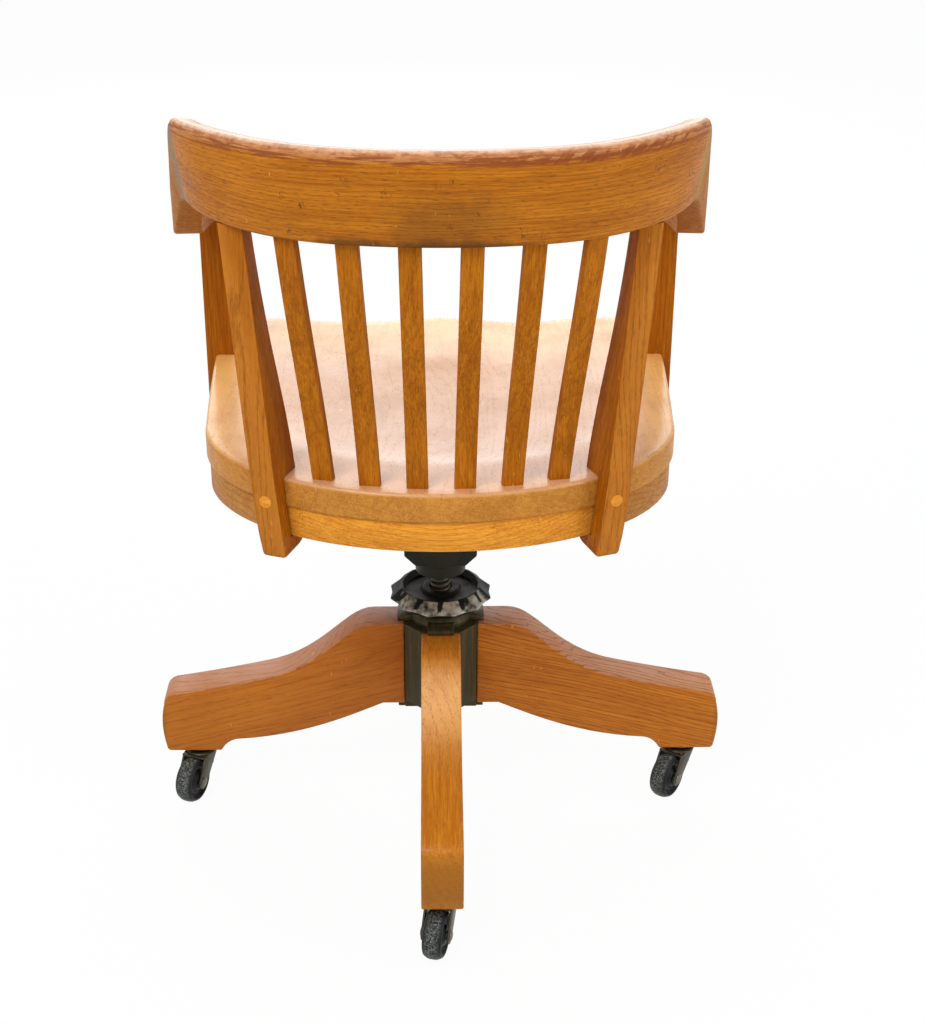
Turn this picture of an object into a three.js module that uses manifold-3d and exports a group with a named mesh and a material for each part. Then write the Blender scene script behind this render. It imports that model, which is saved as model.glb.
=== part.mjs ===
/**
 * Bankers swivel chair: a solid oak seat and back on a height screw, with a sprung tilt and a four-leg base.
 *
 * Millimetres, +Z up. The origin is on the floor under the screw, and the sitter faces -Y.
 */

import * as THREE from 'three';
import { mergeVertices } from 'three/addons/utils/BufferGeometryUtils.js';
import Module from 'manifold-3d';

const wasm = await Module();
wasm.setup();

// Fits

const seam = 0.3;
const runningGap = 0.5;
const cutOverrun = 5;

// Seat

const seatHeight = 457;
const boardThickness = 29;
const boardEdgeRadius = 4;
const seatHalfWidth = 235;
const seatFrontFlare = 11;
const seatRearRadius = 176;
const seatRearCentre = 24;
const seatFrontReach = 280;
const seatCornerReach = 50;
const seatRimSteps = 30;
const apronHeight = 31.5;
const apronInset = 3;
const apronWidth = 34;
const scoopDepth = 11;
const scoopHalfWidth = 190;
const scoopHalfDepth = 138;
const scoopCentre = - 10;
const thighOffset = 95;
const thighHalfWidth = 60;
const thighDepthShare = 0.62;

// Back

const crestRise = 247;
const crestHeight = 88;
const crestThickness = 28;
const crestReach = 236.5;
const crestMiddleRadius = 420;
const crestEndInset = 40;
const crestMiddleSpread = THREE.MathUtils.degToRad( 11.7 );
const crestJointSpread = THREE.MathUtils.degToRad( 72.5 );
const crestLean = 0.216;
const jointLean = 0.2;
const jointRake = 0.474;
const railTopRadius = 8;
const railUnderRadius = 3;

// Arms

const armHeight = 202;
const armThickness = 33;
const armOverhang = 16;
const armPadWidth = 58;
const armPadStartInset = 130;
const armPadRoundInset = 64;
const armTopDropStart = 105;
const armTopDropEnd = - 95;
const armUnderDropStart = 98;
const armUnderDropEnd = - 60;
const armSweepShares = [ 0.5, 0.35 ];

// Slats

const slatCount = 6;
const slatWidth = 20;
const slatThickness = 10;
const slatFootPitchShare = 0.187;
const slatHeadPitchShare = 0.2277;
const slatFootInset = 18;
const slatTurnPerOffset = 0.0019;
const slatTenon = 9;
const slatBow = 4;

// Posts

const backPostWidth = 24;
const backPostFootDepth = 48;
const backPostHeadDepth = 17;
const backPostHeadInset = 12;
const backPostTurn = THREE.MathUtils.degToRad( 20 );
const backPostWidthShare = 0.67;
const backPostLean = 0.095;
const backPostFootDrop = 16;
const backPostFootRadius = 13;
const plugRadius = 6.5;
const plugLength = 8;
const plugProud = 0.5;
const plugDrop = 17;
const armPostThickness = 30;
const armPostDepth = 48;
const armPostBackInset = 120;
const armPostProud = 11;
const armPostShoulder = 18;

// Base

const legReach = 304;
const legEndBulge = 3;
const legThickness = 41;
const legEndTop = 130;
const legEndUnder = 61;
const legHubDepth = 98.5;
const legHubFlat = 72;
const legPadLength = 63;
const legPadStep = 14.5;
const legTopShares = [ [ 0.77, 0.13 ], [ 0.59, 0.25 ], [ 0.33, 0.39 ], [ 0.25, 1 ] ];
const legUnderShares = [ [ 0.09, 0 ], [ 0.235, 0.28 ], [ 0.42, 0.68 ] ];
const legEndRadius = 8;
const hubHalfWidth = 38.7;
const hubBottomPlate = 7;
const hubLugReach = 46;
const hubLugWidth = 28;
const hubCapHeight = 18;
const hubCapLip = 5;

// Height screw and hand nut

const screwRadius = 11;
const screwPitch = 6.35;
const screwThreadDepth = 1.3;
const screwSides = 10;
const screwTail = 17.5;
const collarRadius = 14;
const collarThickness = 10;
const journalRadius = 9;
const retainerRadius = 15;
const retainerThickness = 4;
const nutRadius = 55;
const nutRimHeight = 20;
const nutRimWidth = 12;
const nutDish = 6;
const nutGap = 18.9;
const nutSides = 12;
const nutFloor = 7;

// Swivel head and tilt

const cupDrop = 180;
const cupRadius = 26.5;
const cupHeight = 15;
const headWebDrop = 145;
const headHalfWidth = 38;
const headHalfDepth = 26;
const cheekThickness = 11;
const cheekHalfDepth = 19;
const pinDrop = 107;
const pinRadius = 7;
const bossRadius = 22;
const bossThickness = 8;
const stopFinger = 11;
const noseReach = 77;
const noseHalfWidth = 14;
const noseThickness = 18;
const springRadius = 14;
const springWire = 4.6;
const springCurls = 6;
const springPitch = 6.8;
const springLegReach = 62;
const springSteps = 8;
const springSides = 5;
const tensionOffset = 63;
const tensionScrewRadius = 4.5;
const tensionHeadHalfWidth = 9;
const tensionHeadThickness = 7;
const tensionKnobRadius = 20;
const tensionKnobHeight = 15;
const tensionScrewDrop = 28;

// Seat spider

const spiderThickness = 6.5;
const spiderHalfWidth = 58;
const spiderHalfDepth = 52;
const spiderLugThickness = 8;
const spiderLugGap = 3.5;
const spiderArmWidth = 26;
const spiderFrontReach = 128;
const spiderRearReach = 96;
const spiderSideReach = 118;
const woodScrewRadius = 2.6;
const woodScrewLength = 20;
const woodScrewHead = 6;
const woodScrewHeadHeight = 3.4;

// Casters

const casterInset = 38;
const wheelRadius = 25;
const wheelWidth = 20;
const wheelDish = 4;
const wheelHubRadius = 9;
const wheelBoreRadius = 4.4;
const casterTrail = 24;
const casterTurnDegrees = { front: 24, left: 22, rear: 14, right: 36 };
const forkGap = 2;
const forkMetal = 2.2;
const forkPlateRadius = 17;
const forkPlateUnder = 51.2;
const forkPlateHeight = 3;
const forkBossRadius = 8.5;
const stemRadius = 5;
const stemLength = 34;
const socketRadius = 7.6;
const socketFlangeRadius = 16;
const socketFlangeHeight = 2.6;
const socketLength = 38;
const axleRadius = 3.6;
const rivetRadius = 5.4;
const rivetHeight = 1.8;

// Worked-out places

const boardBottom = seatHeight - boardThickness;
const apronBottom = boardBottom - apronHeight;
const crestBottom = seatHeight + crestRise;
const armPostOuter = seatHalfWidth + seatFrontFlare * 4 / 5 + armPostProud;
const armPostInner = armPostOuter - armPostThickness;
const armOuter = armPostOuter + armOverhang;
const armTop = seatHeight + armHeight;
const armUnder = armTop - armThickness;
const postBottom = apronBottom - backPostFootDrop;
const pinHeight = seatHeight - pinDrop;
const headWebTop = seatHeight - headWebDrop;
const cupBottom = seatHeight - cupDrop;
const nutTop = cupBottom - nutGap;
const nutBottom = nutTop - nutRimHeight;
const hubCapTop = nutBottom - seam;
const hubCapBottom = hubCapTop - hubCapHeight;
const legHubTop = hubCapBottom - seam;
const legHubUnder = legHubTop - legHubDepth;
const hubBottom = legHubUnder - seam - hubBottomPlate;
const casterRadius = legReach - casterInset;
const armPadStart = seatFrontReach - armPadStartInset;
const armPadRoundStart = seatFrontReach - armPadRoundInset;
const armPostBack = seatFrontReach - armPostBackInset;
const journalTop = headWebTop + seam + retainerThickness;
const backPostOffset = seatHalfWidth * backPostWidthShare;
const spiderTop = boardBottom - seam;
const spiderUnder = spiderTop - spiderThickness;
const tensionBore = tensionScrewRadius + runningGap;
const lugInner = headHalfWidth + spiderLugGap;
const pinHalfLength = lugInner + spiderLugThickness + spiderLugGap;
const crestEndRadius = seatHalfWidth - crestEndInset;
const crestMiddleCentre = crestReach - crestMiddleRadius;
const crestCentreGap = crestMiddleRadius - crestEndRadius;
const crestEndCentreX = crestCentreGap * Math.sin( crestMiddleSpread );
const crestEndCentreY = crestMiddleCentre + crestCentreGap * Math.cos( crestMiddleSpread );

const X = new THREE.Vector3( 1, 0, 0 );
const Y = new THREE.Vector3( 0, 1, 0 );
const Z = new THREE.Vector3( 0, 0, 1 );

// Finishes

const finishes = {
	oak: { color: 0xc08a4c, roughness: 0.42, metalness: 0 },
	oakWorn: { color: 0xa8622e, roughness: 0.5, metalness: 0 },
	plug: { color: 0xd9a55c, roughness: 0.5, metalness: 0 },
	iron: { color: 0x3b3a34, roughness: 0.55, metalness: 0.6 },
	bronzedSteel: { color: 0x59533f, roughness: 0.42, metalness: 0.8 },
	steel: { color: 0x9a9892, roughness: 0.35, metalness: 0.9 },
	rubber: { color: 0x2a2c2d, roughness: 0.75, metalness: 0 }
};

const chair = new THREE.Group();

function addPiece( name, geometry, finish ) {

	const mesh = new THREE.Mesh( geometry, new THREE.MeshStandardMaterial( finishes[ finish ] ) );
	mesh.name = name;
	chair.add( mesh );

}

// Solids

function tidy( geometry ) {

	const bare = geometry.clone();
	bare.deleteAttribute( 'normal' );
	bare.deleteAttribute( 'uv' );
	const merged = mergeVertices( bare );
	const corners = merged.index.array;
	const kept = [];

	for ( let i = 0; i < corners.length; i += 3 ) {

		const [ a, b, c ] = [ corners[ i ], corners[ i + 1 ], corners[ i + 2 ] ];
		if ( a !== b && b !== c && c !== a ) kept.push( a, b, c );

	}

	merged.setIndex( kept );
	return merged;

}

function solidOf( geometry ) {

	const { attributes, index } = tidy( geometry );
	return new wasm.Manifold( new wasm.Mesh( {
		numProp: 3,
		vertProperties: new Float32Array( attributes.position.array ),
		triVerts: new Uint32Array( index.array )
	} ) );

}

function geometryOf( solid ) {

	const { vertProperties, triVerts } = solid.getMesh();
	const geometry = new THREE.BufferGeometry();
	geometry.setAttribute( 'position', new THREE.BufferAttribute( vertProperties, 3 ) );
	geometry.setIndex( new THREE.BufferAttribute( triVerts, 1 ) );
	geometry.computeVertexNormals();
	return geometry;

}

function join( ...geometries ) {

	return geometryOf( geometries.map( solidOf ).reduce( ( whole, next ) => whole.add( next ) ) );

}

function cut( geometry, ...cutters ) {

	const solids = cutters.map( solidOf );
	return geometryOf( solids.reduce( ( whole, next ) => whole.subtract( next ), solidOf( geometry ) ) );

}

function common( geometry, other ) {

	return geometryOf( solidOf( geometry ).intersect( solidOf( other ) ) );

}

function mirrored( geometry ) {

	const flipped = tidy( geometry ).scale( - 1, 1, 1 );
	const corners = flipped.index.array;

	for ( let i = 0; i < corners.length; i += 3 ) {

		[ corners[ i ], corners[ i + 1 ] ] = [ corners[ i + 1 ], corners[ i ] ];

	}

	return flipped;

}

function block( minX, maxX, minY, maxY, minZ, maxZ ) {

	const geometry = new THREE.BoxGeometry( maxX - minX, maxY - minY, maxZ - minZ );
	return geometry.translate( ( minX + maxX ) / 2, ( minY + maxY ) / 2, ( minZ + maxZ ) / 2 );

}

function rod( radius, from, to, sides ) {

	const along = to.clone().sub( from );
	const geometry = new THREE.CylinderGeometry( radius, radius, along.length(), sides );
	const turn = new THREE.Quaternion().setFromUnitVectors( Y, along.clone().normalize() );
	return geometry.applyQuaternion( turn ).translate( ...from.clone().lerp( to, 1 / 2 ) );

}

function upright( radius, x, y, minZ, maxZ, sides ) {

	return rod( radius, new THREE.Vector3( x, y, minZ ), new THREE.Vector3( x, y, maxZ ), sides );

}

function turned( profile, sides ) {

	const points = profile.map( ( [ radius, height ] ) => new THREE.Vector2( radius, height ) );
	return new THREE.LatheGeometry( points, sides ).rotateX( Math.PI / 2 );

}

function sawn( shape, thickness, across, up, curveSegments = 4 ) {

	const out = across.clone().cross( up );
	const options = { depth: thickness, bevelEnabled: false, curveSegments };
	const geometry = new THREE.ExtrudeGeometry( shape, options );
	geometry.translate( 0, 0, - thickness / 2 );
	return geometry.applyMatrix4( new THREE.Matrix4().makeBasis( across, up, out ) );

}

function slab( shape, minZ, maxZ, curveSegments ) {

	return sawn( shape, maxZ - minZ, X, Y, curveSegments ).translate( 0, 0, ( minZ + maxZ ) / 2 );

}

// A closed skin over a row of rings, each with as many points, counter-clockwise seen from the far end
function loft( rings ) {

	const sides = rings[ 0 ].length;
	const last = ( rings.length - 1 ) * sides;
	const index = [];

	for ( let i = 0; i < last; i += sides ) {

		for ( let j = 0; j < sides; j ++ ) {

			const k = ( j + 1 ) % sides;
			index.push( i + j, i + k, i + sides + k, i + j, i + sides + k, i + sides + j );

		}

	}

	for ( let j = 1; j < sides - 1; j ++ ) {

		index.push( 0, j + 1, j, last, last + j, last + j + 1 );

	}

	const geometry = new THREE.BufferGeometry();
	const places = rings.flat().flatMap( ( point ) => point.toArray() );
	geometry.setAttribute( 'position', new THREE.Float32BufferAttribute( places, 3 ) );
	geometry.setIndex( index );
	return geometry;

}

function ease( value, from, to ) {

	return THREE.MathUtils.smoothstep( ( value - from ) / ( to - from ), 0, 1 );

}

// Seat

function seatRim( inset = 0 ) {

	const front = seatHalfWidth + seatFrontFlare;
	const path = new THREE.Path();
	path.absellipse( 0, seatRearCentre, seatHalfWidth, seatRearRadius, Math.PI / 2, Math.PI, false, 0 );
	const waist = ( seatRearCentre - seatFrontReach ) / 2;
	path.quadraticCurveTo( - front, waist, - front, seatCornerReach - seatFrontReach );
	path.quadraticCurveTo( - front, - seatFrontReach, seatCornerReach - front, - seatFrontReach );
	path.lineTo( 0, - seatFrontReach );
	const left = path.getSpacedPoints( seatRimSteps );
	const right = left.slice( 1, - 1 ).toReversed().map( ( p ) => new THREE.Vector2( - p.x, p.y ) );
	const rim = [ ...left, ...right ];
	return rim.map( ( p, i ) => {

		const along = rim[ ( i + 1 ) % rim.length ].clone().sub( rim.at( i - 1 ) ).normalize();
		return new THREE.Vector2( p.x - along.y * inset, p.y + along.x * inset );

	} );

}

function seatShape( inset ) {

	return new THREE.Shape( seatRim( inset ) );

}

function scoop( x, y ) {

	const bowl = Math.max( 0, 1 - ( x / scoopHalfWidth ) ** 2 - ( ( y - scoopCentre ) / scoopHalfDepth ) ** 2 );
	const thigh = Math.exp( - ( ( ( Math.abs( x ) - thighOffset ) / thighHalfWidth ) ** 2 ) );
	const ahead = ease( y, scoopHalfDepth / 2, - scoopHalfDepth );
	const depthShare = Math.hypot( bowl ** ( 3 / 4 ), thighDepthShare * thigh * ahead );
	return scoopDepth * depthShare / Math.hypot( 1, thighDepthShare );

}

function seatBlank() {

	const rim = seatRim();
	const levelShares = [ 0.12, 0.3, 0.46, 0.6, 0.72, 0.82, 0.9 ];
	const inner = 1 - boardEdgeRadius / seatHalfWidth;
	const soft = 1 - boardEdgeRadius / seatHalfWidth / 3;
	const ring = ( share, height ) => rim.map( ( p ) => new THREE.Vector3( p.x * share, p.y * share, height ) );
	const worn = ( share ) => rim.map( ( p ) => {

		const [ x, y ] = [ p.x * share, p.y * share ];
		return new THREE.Vector3( x, y, seatHeight - scoop( x, y ) );

	} );
	const lowered = ( share, drop ) => worn( share ).map( ( p ) => p.setZ( p.z - drop ) );
	return loft( [
		ring( inner, boardBottom ),
		ring( 1, boardBottom + boardEdgeRadius / 2 ),
		lowered( 1, boardEdgeRadius ),
		lowered( soft, boardEdgeRadius / 3 ),
		worn( inner ),
		...levelShares.toReversed().map( worn )
	] );

}

function armPostNotch( clearance ) {

	return block(
		armPostInner - clearance, armPostOuter + cutOverrun,
		- armPostBack - armPostDepth - clearance, clearance - armPostBack,
		apronBottom - cutOverrun, seatHeight + cutOverrun
	);

}

const spiderScrewPlaces = [
	[ - spiderSideReach, - spiderFrontReach ],
	[ spiderSideReach, - spiderFrontReach ],
	[ - spiderSideReach, spiderRearReach ],
	[ spiderSideReach, spiderRearReach ]
];

function woodScrew( [ x, y ], clearance ) {

	const headTop = spiderUnder - seam;
	const tip = spiderUnder + woodScrewLength + clearance;
	const shank = upright( woodScrewRadius + clearance, x, y, headTop, tip, 8 );
	const head = upright( woodScrewHead, x, y, headTop - woodScrewHeadHeight, headTop, 10 );
	return clearance ? shank : join( shank, head );

}

// Crest rail and arms

function railSection( width, height ) {

	const [ w, h ] = [ width / 2, height / 2 ];
	const r = Math.min( railTopRadius, width / 3 );
	const u = Math.min( railUnderRadius, width / 4 );
	const s = r * ( 1 - Math.SQRT1_2 );
	return [
		[ w - u, - h ], [ w, u - h ], [ w, h - r ], [ w - s, h - s ], [ w - r, h ],
		[ r - w, h ], [ s - w, h - s ], [ - w, h - r ], [ - w, u - h ], [ u - w, - h ]
	];

}

// One ring of a rail: its section runs from inner to outer between two heights, and tilts with the lean
function railRing( inner, outer, under, top, lean ) {

	const across = outer.clone().sub( inner );
	const width = across.length();
	across.normalize();
	const middle = inner.clone().lerp( outer, 1 / 2 );
	const height = top - under;
	const tilt = lean.dot( across );
	return railSection( width, height ).map( ( [ u, v ] ) => {

		const rise = under - crestBottom + height / 2 + v;
		return new THREE.Vector3(
			middle.x + across.x * u + lean.x * rise,
			middle.y + across.y * u + lean.y * rise,
			crestBottom + rise + tilt * ( u - width / 2 )
		);

	} );

}

function crestPoint( spread, offset ) {

	const side = Math.sign( spread );
	const turn = Math.abs( spread );
	const ended = turn > crestMiddleSpread;
	const radius = ( ended ? crestEndRadius : crestMiddleRadius ) - offset;
	const x = ( ended ? crestEndCentreX : 0 ) + radius * Math.sin( turn );
	const y = ( ended ? crestEndCentreY : crestMiddleCentre ) + radius * Math.cos( turn );
	return new THREE.Vector2( side * x, y );

}

// The rail leans back all round, and towards its ends the joint with the arm rakes back too
function crestSlope( spread ) {

	const turn = Math.abs( spread );
	const outward = new THREE.Vector2( Math.sin( spread ), Math.cos( spread ) );
	const inward = new THREE.Vector2( - Math.sign( spread ) * Math.cos( turn ), Math.sin( turn ) );
	const lean = THREE.MathUtils.lerp( crestLean, jointLean, turn / crestJointSpread );
	const rake = jointRake * ease( turn, crestJointSpread / 2, crestJointSpread );
	return outward.multiplyScalar( lean ).addScaledVector( inward, rake );

}

function crestRing( spread, clearance ) {

	const inner = crestPoint( spread, crestThickness + clearance );
	const outer = crestPoint( spread, - clearance );
	const under = crestBottom - clearance;
	return railRing( inner, outer, under, under + crestHeight + 2 * clearance, crestSlope( spread ) );

}

function crestRail( clearance ) {

	const steps = 22;
	const limit = crestJointSpread - seam / crestEndRadius;
	const spreads = Array.from( { length: steps + 1 }, ( _, i ) => limit * ( 2 * i / steps - 1 ) );
	return loft( spreads.map( ( spread ) => crestRing( spread, clearance ) ) );

}

function arm() {

	const jointOuter = crestPoint( crestJointSpread, 0 );
	const jointInner = crestPoint( crestJointSpread, crestThickness );
	const forward = new THREE.Vector2( Math.cos( crestJointSpread ), - Math.sin( crestJointSpread ) );
	const length = jointOuter.y + armPadStart;
	const padOuter = new THREE.Vector2( armOuter, - armPadStart );
	const padInner = new THREE.Vector2( armOuter - armPadWidth, - armPadStart );
	const waist = new THREE.Vector2( crestThickness / 3, 0 );
	const outer = new THREE.CubicBezierCurve(
		jointOuter,
		jointOuter.clone().addScaledVector( forward, length * armSweepShares[ 0 ] ),
		padOuter.clone().add( new THREE.Vector2( 0, length * armSweepShares[ 1 ] ) ),
		padOuter
	);
	const inner = new THREE.CubicBezierCurve(
		jointInner,
		jointInner.clone().addScaledVector( forward, length * armSweepShares[ 0 ] ).add( waist ),
		padInner.clone().add( new THREE.Vector2( crestThickness, length * armSweepShares[ 1 ] ) ),
		padInner
	);
	const ring = ( a, b ) => {

		const y = ( a.y + b.y ) / 2;
		const top = armTop + ( crestBottom + crestHeight - armTop ) * ease( y, armTopDropEnd, armTopDropStart );
		const under = armUnder + ( crestBottom - armUnder ) * ease( y, armUnderDropEnd, armUnderDropStart );
		const lean = crestSlope( crestJointSpread ).multiplyScalar( ease( y, armTopDropEnd, armTopDropStart ) );
		return railRing( a, b, under, top, lean );

	};
	const sweepSteps = 16;
	const roundSteps = 5;
	const rings = [];

	for ( let i = 0; i <= sweepSteps; i ++ ) {

		rings.push( ring( inner.getPoint( i / sweepSteps ), outer.getPoint( i / sweepSteps ) ) );

	}

	for ( let i = 0; i < roundSteps; i ++ ) {

		const angle = Math.PI / 2 * i / roundSteps;
		const half = armPadWidth / 2 * Math.cos( angle );
		const y = - armPadRoundStart - armPadWidth / 2 * Math.sin( angle );
		const middle = armOuter - armPadWidth / 2;
		rings.push( ring( new THREE.Vector2( middle - half, y ), new THREE.Vector2( middle + half, y ) ) );

	}

	return loft( rings );

}

// Slats

function slat( number, clearance ) {

	const place = number - ( slatCount - 1 ) / 2;
	const footX = place * slatFootPitchShare * seatHalfWidth;
	const headX = place * slatHeadPitchShare * seatHalfWidth;
	const rimY = seatRearCentre + seatRearRadius * Math.sqrt( 1 - ( footX / seatHalfWidth ) ** 2 );
	const headAside = ( headX - Math.sign( headX ) * crestEndCentreX ) / crestEndRadius;
	const headSpread = Math.asin( THREE.MathUtils.clamp( headAside, - 1, 1 ) );
	const spread = Math.abs( headX ) < crestEndCentreX + crestEndRadius * Math.sin( crestMiddleSpread )
		? Math.asin( headX / crestMiddleRadius ) : headSpread;
	const head = crestPoint( spread, crestThickness / 2 );
	const footZ = seatHeight - slatTenon - clearance;
	const headZ = crestBottom + slatTenon + clearance;
	const steps = 5;

	return loft( Array.from( { length: steps + 1 }, ( _, i ) => {

		const z = THREE.MathUtils.lerp( footZ, headZ, i / steps );
		const share = ( z - seatHeight ) / crestRise;
		const bow = slatBow * Math.sin( 2 * Math.PI * THREE.MathUtils.clamp( share, 0, 1 ) );
		const x = THREE.MathUtils.lerp( footX, headX, share );
		const y = THREE.MathUtils.lerp( rimY - slatFootInset, head.y, share ) - bow;
		const turn = THREE.MathUtils.lerp( footX * slatTurnPerOffset, spread, share );
		const wide = new THREE.Vector3( Math.cos( turn ), - Math.sin( turn ), 0 );
		const deep = new THREE.Vector3( Math.sin( turn ), Math.cos( turn ), 0 );
		const halfWidth = slatWidth / 2 + clearance;
		const halfDepth = slatThickness / 2 + clearance;
		const corner = ( u, v ) => new THREE.Vector3( x, y, z )
			.addScaledVector( wide, u * halfWidth ).addScaledVector( deep, v * halfDepth );
		return [ corner( - 1, - 1 ), corner( 1, - 1 ), corner( 1, 1 ), corner( - 1, 1 ) ];

	} ) );

}

const slatNumbers = Array.from( { length: slatCount }, ( _, i ) => i );

// Posts

const backPostAcross = new THREE.Vector3( Math.cos( backPostTurn ), - Math.sin( backPostTurn ), 0 );
const backPostInward = new THREE.Vector3( - Math.sin( backPostTurn ), - Math.cos( backPostTurn ), 0 );
const backPostRimShare = Math.sqrt( 1 - ( backPostOffset / seatHalfWidth ) ** 2 );
const backPostRimY = seatRearCentre + seatRearRadius * backPostRimShare;

function backPostPoint( depth, height ) {

	const x = backPostOffset + backPostLean * ( height - seatHeight );
	return new THREE.Vector3( x, backPostRimY, height ).addScaledVector( backPostInward, depth );

}

function backPost() {

	const back = - backPostFootDepth / 2;
	const foot = backPostFootDepth / 2;
	const headBack = back + backPostHeadInset;
	const head = headBack + backPostHeadDepth;
	const top = crestBottom - seam;
	const shape = new THREE.Shape();
	shape.moveTo( foot, postBottom + backPostFootRadius );
	shape.lineTo( foot, seatHeight );
	shape.bezierCurveTo( foot, seatHeight + crestRise / 3, head, seatHeight + crestRise / 2, head, top );
	shape.lineTo( headBack, top );
	shape.lineTo( back, seatHeight );
	shape.lineTo( back, postBottom + backPostFootRadius / 2 );
	shape.quadraticCurveTo( back, postBottom, back + backPostFootRadius / 2, postBottom );
	shape.lineTo( foot - backPostFootRadius, postBottom );
	shape.quadraticCurveTo( foot, postBottom, foot, postBottom + backPostFootRadius );
	const up = new THREE.Vector3( backPostLean, 0, 1 );
	const out = backPostAcross.clone().negate();
	const options = { depth: backPostWidth, bevelEnabled: false, curveSegments: 4 };
	const geometry = new THREE.ExtrudeGeometry( shape, options );
	geometry.translate( 0, 0, - backPostWidth / 2 );
	geometry.applyMatrix4( new THREE.Matrix4().makeBasis( backPostInward, up, out ) );
	geometry.translate( backPostOffset - backPostLean * seatHeight, backPostRimY, 0 );
	const seatRoom = slab( seatShape( - seam ), apronBottom - seam, seatHeight + seam );
	const bore = rod( plugRadius + seam, plugEnd( - cutOverrun ), plugEnd( plugLength + seam ), 12 );
	return cut( geometry, seatRoom, bore, crestRail( seam ) );

}

function plugEnd( depth ) {

	return backPostPoint( depth - backPostFootDepth / 2, seatHeight - plugDrop );

}

function plug() {

	return rod( plugRadius, plugEnd( - plugProud ), plugEnd( plugLength ), 12 );

}

function armPost() {

	const neck = armPostOuter - armPostShoulder;
	const top = armUnder - seam;
	const shape = new THREE.Shape();
	shape.moveTo( armPostInner, apronBottom );
	shape.lineTo( armPostOuter, apronBottom );
	shape.lineTo( armPostOuter, top - armPostShoulder * 3 / 2 );
	shape.quadraticCurveTo( armPostOuter, top - armPostShoulder / 2, neck, top );
	shape.lineTo( armPostInner, top );
	shape.closePath();
	return sawn( shape, armPostDepth, X, Z ).translate( 0, - armPostBack - armPostDepth / 2, 0 );

}

// Base

function leg( angle ) {

	const inner = hubHalfWidth + seam;
	const end = legReach - legEndBulge;
	const pad = legReach - legPadLength;
	const drop = legHubTop - legEndTop;
	const rise = legHubUnder - legEndUnder;
	const run = end - inner;
	const topAt = ( i ) => [ inner + run * legTopShares[ i ][ 0 ], legEndTop + drop * legTopShares[ i ][ 1 ] ];
	const underAt = ( i ) => [
		inner + run * legUnderShares[ i ][ 0 ],
		legHubUnder - rise * legUnderShares[ i ][ 1 ]
	];
	const shape = new THREE.Shape();
	shape.moveTo( inner, legHubUnder );
	shape.lineTo( ...underAt( 0 ) );
	shape.bezierCurveTo( ...underAt( 1 ), ...underAt( 2 ), pad - legPadStep * 3 / 2, legEndUnder + legPadStep );
	shape.quadraticCurveTo( pad - legPadStep / 2, legEndUnder + legPadStep, pad, legEndUnder );
	shape.lineTo( end - legEndRadius / 2, legEndUnder );
	shape.quadraticCurveTo( end, legEndUnder, end, legEndUnder + legEndRadius / 2 );
	const endMiddle = ( legEndUnder + legEndTop ) / 2;
	shape.quadraticCurveTo( legReach + legEndBulge, endMiddle, end, legEndTop - legEndRadius );
	shape.quadraticCurveTo( end, legEndTop, end - legEndRadius, legEndTop + legEndRadius / 3 );
	shape.quadraticCurveTo( ...topAt( 0 ), ...topAt( 1 ) );
	shape.bezierCurveTo( ...topAt( 2 ), ...topAt( 3 ), legHubFlat, legHubTop );
	shape.lineTo( inner, legHubTop );
	shape.closePath();
	const out = new THREE.Vector3( Math.cos( angle ), Math.sin( angle ), 0 );
	const body = sawn( shape, legThickness, out, Z, 6 );
	const at = out.clone().multiplyScalar( casterRadius );
	const boreTop = legEndUnder + socketLength + seam;
	return cut( body, upright( socketRadius + seam, at.x, at.y, legEndUnder - cutOverrun, boreTop, 12 ) );

}

const legAngles = { front: - Math.PI / 2, left: 0, rear: Math.PI / 2, right: Math.PI };

function cross( reach, width, minZ, maxZ ) {

	const half = width / 2;
	return [
		block( - reach, reach, - half, half, minZ, maxZ ),
		block( - half, half, - reach, reach, minZ, maxZ )
	];

}

function screwRoom( minZ, maxZ ) {

	return upright( screwRadius + runningGap * 2, 0, 0, minZ - cutOverrun, maxZ + cutOverrun, 16 );

}

function hubCasting() {

	const half = hubHalfWidth;
	const flat = legThickness / 2;
	const shape = new THREE.Shape( [
		[ half, - flat ], [ half, flat ], [ flat, half ], [ - flat, half ],
		[ - half, flat ], [ - half, - flat ], [ - flat, - half ], [ flat, - half ]
	].map( ( [ x, y ] ) => new THREE.Vector2( x, y ) ) );
	const body = slab( shape, hubBottom, legHubTop );
	const plate = cross( hubLugReach, hubLugWidth, hubBottom, hubBottom + hubBottomPlate );
	return cut( join( body, ...plate ), screwRoom( hubBottom, legHubTop ) );

}

function hubCap() {

	const lips = cross( hubLugReach, hubLugWidth, hubCapBottom, hubCapBottom + hubCapLip );
	const shoulder = turned( [
		[ 0, hubCapBottom ],
		[ hubHalfWidth - hubCapLip, hubCapBottom ],
		[ hubHalfWidth - hubCapLip, hubCapBottom + hubCapLip ],
		[ hubLugWidth, hubCapTop - hubCapLip ], [ hubLugWidth - hubCapLip, hubCapTop ], [ 0, hubCapTop ]
	], 20 );
	return cut( join( shoulder, ...lips ), screwRoom( hubCapBottom, hubCapTop ) );

}

// Height screw and hand nut

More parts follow.
